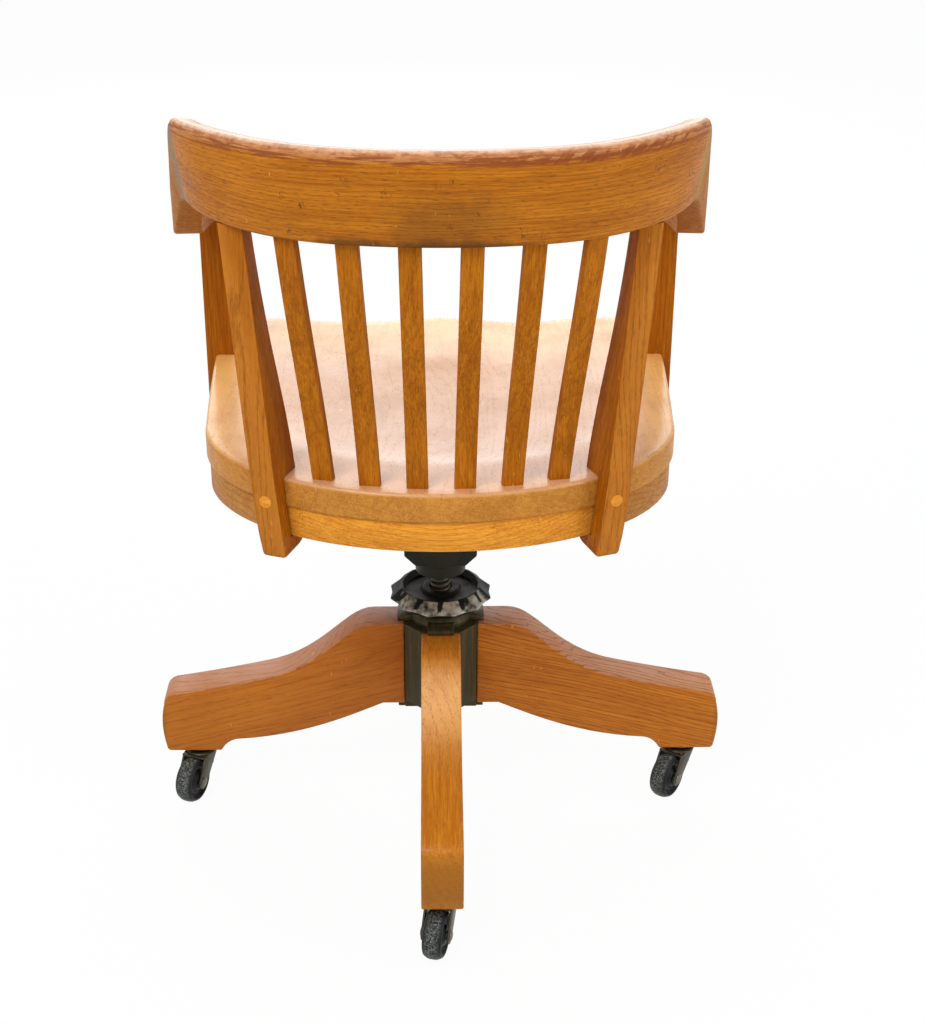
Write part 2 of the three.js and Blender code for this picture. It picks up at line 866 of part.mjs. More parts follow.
function thread( radius, depth, pitch, minZ, maxZ, sides ) {

	const rows = 2 * Math.ceil( ( maxZ - minZ ) / pitch + 2 );
	const points = [];
	const index = [];

	for ( let i = 0; i < rows + 3; i ++ ) {

		for ( let j = 0; j < sides; j ++ ) {

			const angle = 2 * Math.PI * j / sides;
			const reach = radius - ( i % 2 ? depth : 0 );
			const z = minZ + pitch * ( i / 2 + j / sides - 1 );
			points.push( reach * Math.cos( angle ), reach * Math.sin( angle ), z );

		}

	}

	const at = ( i, j ) => j < sides ? i * sides + j : ( i + 2 ) * sides;
	const ends = [ points.length / 3, points.length / 3 + 1 ];
	points.push( 0, 0, minZ - pitch, 0, 0, minZ + pitch * rows / 2 );

	for ( let j = 0; j < sides; j ++ ) {

		for ( let i = 0; i < rows; i ++ ) {

			index.push( at( i, j ), at( i, j + 1 ), at( i + 1, j + 1 ) );
			index.push( at( i, j ), at( i + 1, j + 1 ), at( i + 1, j ) );

		}

		index.push( ends[ 0 ], at( 0, j + 1 ), at( 0, j ), ends[ 1 ], at( rows, j ), at( rows, j + 1 ) );

	}

	for ( const i of [ 0, 1 ] ) {

		index.push( ends[ 0 ], at( i, 0 ), at( i + 1, 0 ), ends[ 1 ], at( rows + i + 1, 0 ), at( rows + i, 0 ) );

	}

	const geometry = new THREE.BufferGeometry();
	geometry.setAttribute( 'position', new THREE.Float32BufferAttribute( points, 3 ) );
	geometry.setIndex( index );
	const reach = radius + pitch;
	return common( geometry, block( - reach, reach, - reach, reach, minZ, maxZ ) );

}

const collarTop = cupBottom + collarThickness;

function spindle() {

	const bottom = hubBottom - screwTail;
	const threaded = thread( screwRadius, screwThreadDepth, screwPitch, bottom, cupBottom, screwSides );
	const top = turned( [
		[ 0, cupBottom - seam ], [ collarRadius - seam, cupBottom - seam ],
		[ collarRadius, cupBottom ], [ collarRadius, collarTop ],
		[ journalRadius, collarTop ], [ journalRadius, journalTop ], [ 0, journalTop ]
	], 16 );
	return join( threaded, top );

}

function swivelRetainer() {

	const bottom = headWebTop + seam;
	return turned( [
		[ journalRadius + seam, bottom ], [ retainerRadius, bottom ],
		[ retainerRadius, bottom + retainerThickness ],
		[ journalRadius + seam, bottom + retainerThickness ], [ journalRadius + seam, bottom ]
	], 16 );

}

function handNut() {

	const bore = screwRadius + runningGap * 2;
	const floor = nutBottom + nutFloor;
	const inner = nutRadius - nutRimWidth;
	const lip = nutDish / 2;
	const boss = bore + nutFloor;
	return turned( [
		[ bore, nutBottom ], [ inner, nutBottom ], [ nutRadius, nutTop - nutRimHeight / 2 - lip / 3 ],
		[ nutRadius, nutTop - nutRimHeight / 2 ], [ inner, nutTop ], [ inner - lip, nutTop ],
		[ inner - nutDish, nutTop - nutDish ], [ boss + nutDish, floor ],
		[ boss, floor + lip ], [ bore, floor + lip ],
		[ bore, nutBottom ]
	], nutSides ).rotateZ( Math.PI / nutSides );

}

// Swivel head and tilt

function pinRod( clearance ) {

	const end = new THREE.Vector3( pinHalfLength, 0, pinHeight );
	return rod( pinRadius + clearance, end.clone().setX( - pinHalfLength ), end, 16 );

}

function cheekShape() {

	const shape = new THREE.Shape();
	const fingerBack = stopFinger - cheekHalfDepth;
	const fingerTop = spiderUnder - seam;
	shape.moveTo( - headHalfDepth, headWebTop - cutOverrun );
	shape.lineTo( headHalfDepth, headWebTop - cutOverrun );
	shape.lineTo( cheekHalfDepth, pinHeight );
	shape.absarc( 0, pinHeight, cheekHalfDepth, 0, Math.PI / 2, false );
	shape.lineTo( fingerBack, pinHeight + cheekHalfDepth );
	shape.lineTo( fingerBack, fingerTop );
	shape.lineTo( - cheekHalfDepth, fingerTop );
	shape.lineTo( - cheekHalfDepth, pinHeight );
	shape.closePath();
	return shape;

}

function swivelHead() {

	const cupTop = cupBottom + cupHeight;
	const cup = turned( [
		[ 0, cupBottom ], [ cupRadius - seam, cupBottom ], [ cupRadius, cupBottom + seam ], [ cupRadius, cupTop ],
		[ headHalfDepth, headWebTop - cutOverrun ], [ 0, headWebTop - cutOverrun ]
	], 20 );
	const wingBase = cupTop + cupHeight * 3 / 4;
	const wingFoot = cupRadius - seam;
	const wingShape = new THREE.Shape( [
		[ - wingFoot, cupTop - seam ], [ wingFoot, cupTop - seam ], [ headHalfWidth, wingBase ],
		[ headHalfWidth, headWebTop ], [ - headHalfWidth, headWebTop ], [ - headHalfWidth, wingBase ]
	].map( ( [ x, z ] ) => new THREE.Vector2( x, z ) ) );
	const wings = sawn( wingShape, headHalfDepth * 2, X, Z );
	const middleX = headHalfWidth - cheekThickness / 2;
	const cheek = sawn( cheekShape(), cheekThickness, Y, Z );
	const cheeks = [ - middleX, middleX ].map( ( x ) => cheek.clone().translate( x, 0, 0 ) );
	const bossZ = headWebTop + bossRadius / 8;
	const bossBack = headHalfDepth + bossThickness;
	const bossStart = new THREE.Vector3( 0, 0, bossZ );
	const boss = rod( bossRadius, bossStart, new THREE.Vector3( 0, bossBack, bossZ ), 20 );
	const bossRoom = block(
		- headHalfWidth, headHalfWidth,
		- headHalfDepth, headHalfDepth + seam,
		headWebTop, pinHeight
	);
	const noseUnder = headWebTop - noseThickness;
	const nose = block(
		- noseHalfWidth, noseHalfWidth,
		- noseReach, - headHalfDepth / 2,
		noseUnder, headWebTop
	);
	const body = join( cup, wings, cut( boss, bossRoom ), nose, ...cheeks );
	const pinBore = pinRod( seam );
	return cut(
		body,
		upright( collarRadius + runningGap * 2, 0, 0, cupBottom - cutOverrun, collarTop + seam, 16 ),
		upright( journalRadius + runningGap * 2, 0, 0, collarTop, headWebTop + cutOverrun, 16 ),
		upright( tensionBore, 0, - tensionOffset, noseUnder - cutOverrun, headWebTop + cutOverrun, 12 ),
		pinBore
	);

}

// The spring's centre line: a leg to the front, its curls round the tilt pin, and a leg to the rear
function springLine() {

	const half = springCurls * springPitch / 2;
	const frontEnd = new THREE.Vector3( - half, - springLegReach, pinHeight - springRadius );
	const rearEnd = new THREE.Vector3( half, springLegReach * 2 / 3, spiderUnder - seam - springWire / 2 );
	const line = [ frontEnd, frontEnd.clone().lerp( new THREE.Vector3( - half, 0, frontEnd.z ), 3 / 4 ) ];
	const steps = Math.round( springCurls * springSteps );
	const last = 2 * Math.PI * springCurls;

	for ( let i = 0; i <= steps; i ++ ) {

		const angle = last * i / steps;
		line.push( new THREE.Vector3(
			springPitch * springCurls * i / steps - half,
			springRadius * Math.sin( angle ),
			pinHeight - springRadius * Math.cos( angle )
		) );

	}

	line.push( new THREE.Vector3( half, springRadius, pinHeight - springRadius * 2 / 3 ) );
	line.push( new THREE.Vector3( half, springRadius * 3 / 2, pinHeight + springRadius / 3 ) );
	line.push( rearEnd );
	return line;

}

function tiltSpring() {

	const line = springLine();
	const rings = line.map( ( point, i ) => {

		const ahead = line[ Math.min( i + 1, line.length - 1 ) ];
		const behind = line[ Math.max( i - 1, 0 ) ];
		const along = ahead.clone().sub( behind ).normalize();
		const side = X.clone().addScaledVector( along, - along.x ).normalize();
		const up = along.clone().cross( side );
		return Array.from( { length: springSides }, ( _, j ) => {

			const angle = 2 * Math.PI * j / springSides;
			return point.clone().addScaledVector( side, springWire / 2 * Math.cos( angle ) )
				.addScaledVector( up, springWire / 2 * Math.sin( angle ) );

		} );

	} );

	let least = Infinity;
	line.forEach( ( a, i ) => line.slice( i + springSteps - 2 ).forEach( ( b ) => {

		least = Math.min( least, a.distanceTo( b ) - springWire );

	} ) );
	console.log( `tilt spring: least gap to itself ${ least.toFixed( 2 ) } mm` );
	return loft( rings );

}

const tensionHeadBottom = pinHeight - springRadius + springWire / 2 + seam;
const tensionKnobTop = headWebTop - noseThickness - seam;

function tensionScrew() {

	const half = tensionHeadHalfWidth;
	const head = block(
		- springCurls * springPitch / 2 - half / 2, half,
		- tensionOffset - half / 2, half / 2 - tensionOffset,
		tensionHeadBottom, tensionHeadBottom + tensionHeadThickness
	);
	const bottom = tensionKnobTop - tensionScrewDrop;
	return join( head, upright( tensionScrewRadius, 0, - tensionOffset, bottom, tensionHeadBottom + seam, 12 ) );

}

function tensionKnob() {

	const bore = tensionBore;
	const bottom = tensionKnobTop - tensionKnobHeight;
	const neck = tensionKnobRadius / 2;
	return turned( [
		[ bore, bottom ], [ tensionKnobRadius * 4 / 5, bottom ],
		[ tensionKnobRadius, bottom + tensionKnobHeight / 5 ],
		[ tensionKnobRadius, bottom + tensionKnobHeight / 2 ], [ neck, bottom + tensionKnobHeight * 3 / 4 ],
		[ neck, tensionKnobTop ], [ bore, tensionKnobTop ], [ bore, bottom ]
	], 16 ).translate( 0, - tensionOffset, 0 );

}

function seatSpider() {

	const plate = block(
		- spiderHalfWidth, spiderHalfWidth,
		- spiderHalfDepth, spiderHalfDepth,
		spiderUnder, spiderTop
	);
	const lug = new THREE.Shape();
	lug.moveTo( - spiderHalfDepth * 3 / 5, spiderUnder + spiderThickness / 2 );
	lug.lineTo( - cheekHalfDepth, pinHeight );
	lug.absarc( 0, pinHeight, cheekHalfDepth, Math.PI, 2 * Math.PI, false );
	lug.lineTo( spiderHalfDepth * 3 / 5, spiderUnder + spiderThickness / 2 );
	lug.closePath();
	const lugX = lugInner + spiderLugThickness / 2;
	const lugs = [ - lugX, lugX ].map( ( x ) => sawn( lug, spiderLugThickness, Y, Z ).translate( x, 0, 0 ) );
	const arms = spiderScrewPlaces.map( ( [ x, y ] ) => {

		const start = new THREE.Vector3(
			Math.sign( x ) * spiderHalfWidth / 2,
			Math.sign( y ) * spiderHalfDepth / 2,
			spiderUnder
		);
		const end = new THREE.Vector3( x, y, spiderUnder );
		const along = end.clone().sub( start ).normalize();
		const reach = start.distanceTo( end );
		const half = spiderArmWidth / 2;
		const shape = new THREE.Shape();
		shape.moveTo( 0, - half );
		shape.lineTo( reach, - half );
		shape.absarc( reach, 0, half, - Math.PI / 2, Math.PI / 2, false );
		shape.lineTo( 0, half );
		shape.closePath();
		const sideways = Z.clone().cross( along );
		const arm = sawn( shape, spiderThickness, along, sideways );
		return arm.translate( start.x, start.y, spiderUnder + spiderThickness / 2 );

	} );
	const holes = spiderScrewPlaces.map( ( place ) => woodScrew( place, seam ) );
	return cut( join( plate, ...arms, ...lugs ), pinRod( runningGap ), ...holes );

}

// Casters

function casterFork() {

	const wheelHeight = wheelRadius;
	const inner = wheelWidth / 2 + forkGap;
	const cheek = new THREE.Shape();
	cheek.moveTo( - forkPlateRadius * 3 / 4, forkPlateUnder );
	cheek.lineTo( casterTrail - forkBossRadius, wheelHeight - forkBossRadius / 3 );
	cheek.absarc( casterTrail, wheelHeight, forkBossRadius, Math.PI * 7 / 6, Math.PI * 2.1, false );
	cheek.lineTo( forkPlateRadius, forkPlateUnder );
	cheek.lineTo( forkPlateRadius / 2, forkPlateUnder + forkPlateHeight / 2 );
	cheek.lineTo( - forkPlateRadius / 2, forkPlateUnder + forkPlateHeight / 2 );
	cheek.closePath();
	const cheekX = inner + forkMetal / 2;
	const cheeks = [ - cheekX, cheekX ].map( ( x ) => sawn( cheek, forkMetal, Y, Z ).translate( x, 0, 0 ) );
	const plateTop = forkPlateUnder + forkPlateHeight;
	const horn = turned( [
		[ 0, forkPlateUnder ], [ forkPlateRadius, forkPlateUnder ],
		[ forkPlateRadius, forkPlateUnder + forkPlateHeight / 2 ],
		[ forkPlateRadius - forkMetal, plateTop ], [ stemRadius, plateTop ],
		[ stemRadius, plateTop + stemLength ], [ 0, plateTop + stemLength ]
	], 16 );
	const boreEnd = new THREE.Vector3( forkPlateRadius, casterTrail, wheelHeight );
	const boreStart = boreEnd.clone().setX( - forkPlateRadius );
	return cut( join( horn, ...cheeks ), rod( axleRadius + seam, boreStart, boreEnd, 10 ) );

}

function casterAxle() {

	const half = wheelWidth / 2 + forkGap + forkMetal + seam;
	const head = half + rivetHeight;
	return turned( [
		[ 0, - head ], [ rivetRadius * 2 / 3, - head ], [ rivetRadius, - half ], [ axleRadius, - half ],
		[ axleRadius, half ], [ rivetRadius, half ], [ rivetRadius * 2 / 3, head ], [ 0, head ]
	], 12 ).rotateY( Math.PI / 2 ).translate( 0, casterTrail, wheelRadius );

}

function casterWheel() {

	const half = wheelWidth / 2;
	const rim = wheelRadius - wheelDish / 2;
	const shoulder = half * 3 / 4;
	return turned( [
		[ wheelBoreRadius, - half ], [ wheelHubRadius, - half ], [ wheelHubRadius + wheelDish, wheelDish - half ],
		[ rim - wheelDish, wheelDish - half ], [ rim, - half ], [ wheelRadius, - shoulder ],
		[ wheelRadius, shoulder ], [ rim, half ], [ rim - wheelDish, half - wheelDish ],
		[ wheelHubRadius + wheelDish, half - wheelDish ], [ wheelHubRadius, half ],
		[ wheelBoreRadius, half ], [ wheelBoreRadius, - half ]
	], 20 ).rotateY( Math.PI / 2 ).translate( 0, casterTrail, wheelRadius );

}

function casterSocket() {

	const bore = stemRadius + runningGap;
	const flangeTop = legEndUnder - seam;
	const bottom = forkPlateUnder + forkPlateHeight + seam;
	const top = legEndUnder + socketLength;
	return turned( [
		[ bore, bottom ], [ socketFlangeRadius * 2 / 3, bottom ],
		[ socketFlangeRadius, flangeTop - socketFlangeHeight ],
		[ socketFlangeRadius, flangeTop ], [ socketRadius, flangeTop ],
		[ socketRadius, top ], [ bore, top ], [ bore, bottom ]
	], 16 );

}

// Every caster trails to the rear and a little to the left, as they do when the chair has just been pushed
function placedCaster( geometry, side ) {

	const angle = legAngles[ side ];
	const turn = THREE.MathUtils.degToRad( - casterTurnDegrees[ side ] );
	const [ x, y ] = [ casterRadius * Math.cos( angle ), casterRadius * Math.sin( angle ) ];
	return tidy( geometry ).rotateZ( turn ).translate( x, y, 0 );

}

// Assembly

for ( const side of Object.keys( legAngles ) ) {

	addPiece( `leg_${ side }`, leg( legAngles[ side ] ), 'oak' );
	addPiece( `caster_socket_${ side }`, placedCaster( casterSocket(), side ), 'steel' );
	addPiece( `caster_fork_${ side }`, placedCaster( casterFork(), side ), 'bronzedSteel' );
	addPiece( `caster_axle_${ side }`, placedCaster( casterAxle(), side ), 'steel' );
	addPiece( `caster_wheel_${ side }`, placedCaster( casterWheel(), side ), 'rubber' );

}

addPiece( 'hub_casting', hubCasting(), 'iron' );
addPiece( 'hub_cap', hubCap(), 'iron' );
addPiece( 'hand_nut', handNut(), 'iron' );
addPiece( 'height_screw', spindle(), 'bronzedSteel' );
addPiece( 'swivel_retainer', swivelRetainer(), 'steel' );
addPiece( 'swivel_head', swivelHead(), 'iron' );
addPiece( 'tilt_pin', pinRod( 0 ), 'steel' );
addPiece( 'tilt_spring', tiltSpring(), 'steel' );
addPiece( 'tension_screw', tensionScrew(), 'bronzedSteel' );
addPiece( 'tension_knob', tensionKnob(), 'iron' );
addPiece( 'seat_spider', seatSpider(), 'iron' );
spiderScrewPlaces.forEach( ( place, i ) => {

	addPiece( `spider_screw_${ i + 1 }`, woodScrew( place, 0 ), 'steel' );

} );

const postRooms = [ armPostNotch( seam ), mirrored( armPostNotch( seam ) ) ];
const mortises = slatNumbers.map( ( i ) => slat( i, seam ) );
const pilots = spiderScrewPlaces.map( ( place ) => woodScrew( place, seam ) );
addPiece( 'seat_board', cut( seatBlank(), ...postRooms, ...mortises, ...pilots ), 'oak' );

const apronRing = cut(
	slab( seatShape( apronInset ), apronBottom, boardBottom - seam ),
	slab( seatShape( apronInset + apronWidth ), apronBottom - cutOverrun, boardBottom + cutOverrun ),
	...postRooms
);
const far = seatHalfWidth + seatFrontFlare + seatFrontReach;
const rearJoint = backPostOffset - seam;
const frontJoint = apronWidth + apronInset - seatFrontReach;
const apronLow = apronBottom - cutOverrun;
const rearRoom = block( - rearJoint, rearJoint, 0, far, apronLow, boardBottom );
const frontRoom = block( - far, far, - far, frontJoint, apronLow, boardBottom );
addPiece( 'apron_rear', common( apronRing, rearRoom ), 'oak' );
addPiece( 'apron_front', common( apronRing, frontRoom ), 'oak' );
const apronSide = cut(
	common( apronRing, block( 0, far, frontJoint + seam, far, apronLow, boardBottom ) ),
	block( - far, rearJoint + seam, 0, far, apronLow - cutOverrun, boardBottom + cutOverrun )
);
addPiece( 'apron_left', apronSide, 'oak' );
addPiece( 'apron_right', mirrored( apronSide ), 'oak' );

addPiece( 'back_post_left', backPost(), 'oak' );
addPiece( 'back_post_right', mirrored( backPost() ), 'oak' );
addPiece( 'post_plug_left', plug(), 'plug' );
addPiece( 'post_plug_right', mirrored( plug() ), 'plug' );
addPiece( 'arm_post_left', armPost(), 'oak' );
addPiece( 'arm_post_right', mirrored( armPost() ), 'oak' );
slatNumbers.forEach( ( i ) => addPiece( `slat_${ i + 1 }`, slat( i, 0 ), 'oak' ) );
addPiece( 'crest_rail', cut( crestRail( 0 ), ...mortises ), 'oakWorn' );
addPiece( 'arm_left', arm(), 'oakWorn' );
addPiece( 'arm_right', mirrored( arm() ), 'oakWorn' );

export default chair;
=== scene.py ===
"""Bankers swivel chair: the finished oak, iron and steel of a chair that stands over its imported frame."""

import math

import bmesh
import bpy
from mathutils import Matrix, Vector
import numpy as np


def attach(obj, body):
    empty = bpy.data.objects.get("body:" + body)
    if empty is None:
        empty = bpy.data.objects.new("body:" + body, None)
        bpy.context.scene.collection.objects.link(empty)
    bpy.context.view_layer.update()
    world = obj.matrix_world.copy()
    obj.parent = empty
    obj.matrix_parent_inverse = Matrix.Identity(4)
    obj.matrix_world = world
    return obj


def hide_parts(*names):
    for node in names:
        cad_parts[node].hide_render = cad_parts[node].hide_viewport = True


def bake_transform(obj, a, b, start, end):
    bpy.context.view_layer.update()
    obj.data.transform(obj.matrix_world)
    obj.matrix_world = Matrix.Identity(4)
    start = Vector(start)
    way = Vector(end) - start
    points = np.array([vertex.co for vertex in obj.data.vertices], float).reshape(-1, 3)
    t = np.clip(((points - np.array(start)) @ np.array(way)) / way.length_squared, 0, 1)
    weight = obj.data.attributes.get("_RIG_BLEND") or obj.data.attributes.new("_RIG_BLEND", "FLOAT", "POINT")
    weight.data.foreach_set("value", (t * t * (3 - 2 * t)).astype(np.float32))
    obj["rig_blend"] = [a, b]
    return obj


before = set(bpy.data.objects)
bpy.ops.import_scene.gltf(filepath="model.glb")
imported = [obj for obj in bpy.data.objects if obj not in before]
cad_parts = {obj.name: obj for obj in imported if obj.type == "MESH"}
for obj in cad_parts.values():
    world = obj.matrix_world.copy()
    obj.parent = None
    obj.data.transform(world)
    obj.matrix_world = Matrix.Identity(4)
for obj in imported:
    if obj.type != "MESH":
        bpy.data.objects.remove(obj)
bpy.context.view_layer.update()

bl_info = {
    "name": "Bankers Swivel Chair",
    "version": (1, 0, 0),
    "blender": (4, 5, 0),
    "location": "3D View > Sidebar > Chair",
    "description": "Builds the worn oak, iron and steel of a swivel chair",
    "category": "Add Mesh",
}

# Fits and steps

SEAM = 0.0003
QUARTER = math.pi / 2
TURN = 2 * math.pi
RIM_STEPS = 84
ROUND_STEPS = 48
CORNER_STEPS = 4
CURVE_STEPS = 14
SHARP_ANGLE = math.radians(35)
SOFTEN_ANGLE = math.radians(28)
NUT_SOFTEN_ANGLE = math.radians(20)
MERGE_REACH = SEAM / 30
LATHE_MERGE_REACH = SEAM / 10
OVERRUN = 0.005

# Seat

FRONT_FLARE = 0.011
REAR_RADIUS = 0.176
REAR_CENTRE = 0.024
CORNER_REACH = 0.050
APRON_HEIGHT = 0.0315
APRON_INSET = 0.003
APRON_WIDTH = 0.034
SCOOP_DEPTH = 0.011
SCOOP_HALF_WIDTH = 0.190
SCOOP_HALF_DEPTH = 0.138
SCOOP_CENTRE = -0.010
THIGH_OFFSET = 0.095
THIGH_HALF_WIDTH = 0.060
THIGH_DEPTH_SHARE = 0.62
SCOOP_FULLNESS = 0.75
BOARD_EDGE = 0.004
BOARD_RINGS = 22

# Back and arms

CREST_THICKNESS = 0.028
CREST_REACH = 0.2365
CREST_MIDDLE_RADIUS = 0.420
CREST_END_INSET = 0.040
CREST_MIDDLE_SPREAD = math.radians(11.7)
CREST_JOINT_SPREAD = math.radians(72.5)
CREST_LEAN = 0.216
JOINT_LEAN = 0.2
JOINT_RAKE = 0.474
RAIL_TOP_RADIUS = 0.008
RAIL_UNDER_RADIUS = 0.003
CREST_STATIONS = 96
CREST_WEAR = (0.782, 0.790)
CREST_STREAKS = (0.774, 0.779, 0.784, 0.789)
# Heights of the painted highlight along the top of the rail
CREST_HIGHLIGHT_HEIGHTS = (0.7875, 0.7905)
CREST_HATCH = (-0.12, 0.0)
CREST_GRAIN_START = 3.1
CREST_GRAIN_DEPTH_SHARE = 0.2
ARM_THICKNESS = 0.033
ARM_OVERHANG = 0.016
ARM_PAD_WIDTH = 0.058
ARM_PAD_START_INSET = 0.130
ARM_PAD_ROUND_INSET = 0.064
ARM_TOP_DROP_START = 0.105
ARM_TOP_DROP_END = -0.095
ARM_UNDER_DROP_START = 0.098
ARM_UNDER_DROP_END = -0.060
ARM_SWEEP_SHARES = (0.5, 0.35)
ARM_STATIONS = 44
# Where along the arms the painted lamp tints of their ends fade in
ARM_END_LIGHT_SPAN = (0.045, 0.095)
SLAT_COUNT = 6
SLAT_WIDTH = 0.020
SLAT_THICKNESS = 0.010
SLAT_FOOT_PITCH_SHARE = 0.187
SLAT_HEAD_PITCH_SHARE = 0.2277
SLAT_FOOT_INSET = 0.018
SLAT_TURN_PER_OFFSET = 1.9
SLAT_TENON = 0.009
SLAT_BOW = 0.004
SLAT_STATIONS = 20

# Posts

BACK_POST_WIDTH = 0.024
BACK_POST_FOOT_DEPTH = 0.048
BACK_POST_HEAD_DEPTH = 0.017
BACK_POST_HEAD_INSET = 0.012
BACK_POST_TURN = math.radians(20)
BACK_POST_WIDTH_SHARE = 0.67
BACK_POST_LEAN = 0.095
BACK_POST_FOOT_DROP = 0.016
BACK_POST_FOOT_RADIUS = 0.013
BACK_POST_FOOT_ROUNDING = 0.004
# Normals over which the back posts' rear faces take their painted light
LIT_FACE_SPAN = (0.5, 0.85)
PLUG_RADIUS = 0.0065
PLUG_LENGTH = 0.008
PLUG_PROUD = 0.0005
PLUG_DROP = 0.017
PLUG_JOINT = 0.0006
PLUG_GRAIN = (0.3, 1, 0)
ARM_POST_THICKNESS = 0.030
ARM_POST_DEPTH = 0.048
ARM_POST_BACK_INSET = 0.120
ARM_POST_PROUD = 0.011
ARM_POST_SHOULDER = 0.018

# Base

LEG_END_BULGE = 0.003
LEG_END_TOP = 0.130
LEG_END_UNDER = 0.061
LEG_HUB_DEPTH = 0.0985
LEG_HUB_FLAT = 0.072
LEG_PAD_LENGTH = 0.063
LEG_PAD_STEP = 0.0145
LEG_TOP_SHARES = ((0.77, 0.13), (0.59, 0.25), (0.33, 0.39), (0.25, 1))
LEG_UNDER_SHARES = ((0.09, 0), (0.235, 0.28), (0.42, 0.68))
LEG_END_RADIUS = 0.011
HUB_HALF_WIDTH = 0.0387
HUB_BOTTOM_PLATE = 0.007
HUB_LUG_REACH = 0.046
HUB_LUG_WIDTH = 0.028
HUB_CORNER_START = 0.015
HUB_CORNER_RISE = 0.012
HUB_CAP_HEIGHT = 0.018
HUB_CAP_LIP = 0.005
LUG_SLOPE = 0.010
LEG_GRAIN_SLOPE = 0.25
# Heights over which the painted highlight on the rear leg rises and fades
LEG_HIGHLIGHT_HEIGHTS = (0.145, 0.185, 0.196, 0.222)
# Normals over which the legs' upper faces take their painted sheen
LEG_TOP_SLOPES = (0.35, 0.9)
LEG_FINISHES = {"front": "legs", "left": "smooth leg", "rear": "rear leg", "right": "legs"}

# Screw, nut and head

SCREW_RADIUS = 0.011
SCREW_PITCH = 0.00635
SCREW_THREAD_DEPTH = 0.0013
SCREW_TAIL = 0.0175
THREAD_SHARES = ((0, 1), (0.2, 1), (0.42, 0.1), (0.5, 0), (0.7, 0), (0.78, 0.1), (1, 1))
COLLAR_RADIUS = 0.014
COLLAR_THICKNESS = 0.010
JOURNAL_RADIUS = 0.009
RETAINER_RADIUS = 0.015
RETAINER_THICKNESS = 0.004
NUT_RIM_HEIGHT = 0.020
NUT_RIM_WIDTH = 0.012
NUT_DISH = 0.006
NUT_GAP = 0.0189
NUT_SIDES = 12
NUT_FLOOR = 0.007
# Bare iron on the flats, partly real wear and partly a painted glint on the flats facing the camera
NUT_FLAT_WEAR_AND_GLINT_SHARE = 0.95
NUT_EDGE_WEAR_SHARE = 0.55
NUT_FLUTE_SHARE = 0.028
NUT_STEPS_A_SIDE = 6
RUNNING_GAP = 0.0005
CUP_DROP = 0.180
CUP_RADIUS = 0.0265
CUP_HEIGHT = 0.015
HEAD_WEB_DROP = 0.145
HEAD_HALF_WIDTH = 0.038
HEAD_HALF_DEPTH = 0.026
CHEEK_THICKNESS = 0.011
CHEEK_HALF_DEPTH = 0.019
PIN_DROP = 0.107
PIN_RADIUS = 0.007
BOSS_RADIUS = 0.022
BOSS_THICKNESS = 0.008
STOP_FINGER = 0.011
NOSE_REACH = 0.077
NOSE_HALF_WIDTH = 0.014
NOSE_THICKNESS = 0.018
SPRING_RADIUS = 0.014
SPRING_WIRE = 0.0046
SPRING_CURLS = 6
SPRING_PITCH = 0.0068
SPRING_LEG_REACH = 0.062
SPRING_STEPS = 20
SPRING_SIDES = 12
TENSION_OFFSET = 0.063
TENSION_SPOT = (0, -TENSION_OFFSET, 0)
TENSION_SCREW_RADIUS = 0.0045
TENSION_HEAD_HALF_WIDTH = 0.009
TENSION_HEAD_THICKNESS = 0.007
TENSION_KNOB_RADIUS = 0.020
TENSION_KNOB_HEIGHT = 0.015
TENSION_SCREW_DROP = 0.028
SPIDER_THICKNESS = 0.0065
SPIDER_HALF_WIDTH = 0.058
SPIDER_HALF_DEPTH = 0.052
SPIDER_ARM_WIDTH = 0.026
SPIDER_FRONT_REACH = 0.128
SPIDER_REAR_REACH = 0.096
SPIDER_SIDE_REACH = 0.118
WOOD_SCREW_RADIUS = 0.0026
WOOD_SCREW_LENGTH = 0.020
WOOD_SCREW_HEAD = 0.006
WOOD_SCREW_HEAD_HEIGHT = 0.0034
KNOB_SCALLOP_SHARE = 0.08
KNOB_NECK_SHARE = 0.7
SPIDER_LUG_THICKNESS = 0.008
SPIDER_LUG_GAP = 0.0035

# Casters

CASTER_INSET = 0.038
WHEEL_WIDTH = 0.020
WHEEL_DISH = 0.004
WHEEL_CROWN = 0.002
WHEEL_HUB_RADIUS = 0.009
WHEEL_BORE_RADIUS = 0.0044
CASTER_TRAIL = 0.024
CASTER_TURNS = {"front": 24, "left": 22, "rear": 14, "right": 36}
FORK_GAP = 0.002
FORK_METAL = 0.0022
FORK_PLATE_RADIUS = 0.017
FORK_WEB_GAP = 0.0013
FORK_WEB_METAL = 0.0018
FORK_WEB_ANGLES = (math.radians(98), math.radians(158))
FORK_END_ANGLES = (math.pi * 7 / 6, math.pi * 2.1)
FORK_PLATE_UNDER = 0.0512
FORK_PLATE_HEIGHT = 0.003
FORK_BOSS_RADIUS = 0.0085
STEM_RADIUS = 0.005
STEM_LENGTH = 0.034
SOCKET_RADIUS = 0.0076
SOCKET_FLANGE_RADIUS = 0.016
SOCKET_FLANGE_HEIGHT = 0.0026
SOCKET_LENGTH = 0.038
AXLE_RADIUS = 0.0036
RIVET_RADIUS = 0.0054
RIVET_HEIGHT = 0.0018

# Grain: how far each board's figure lies from the last one's, and the tree it is cut from

GRAIN_STEPS = (0.731, 0.173, 0.297)
GRAIN_ROOM = (0.4, 0.3)
UPRIGHT_GRAIN = 0.7
BOARD_SEED = 1
APRON_SEED = 11
SLAT_SEED = 21
POST_SEED = 31
PLUG_SEED = 33
ARM_SEED = 41
ARM_POST_SEED = 43
LEG_SEED = 51

# Noises: stretch, start, detail and roughness where drawn out, or else scale, detail and roughness

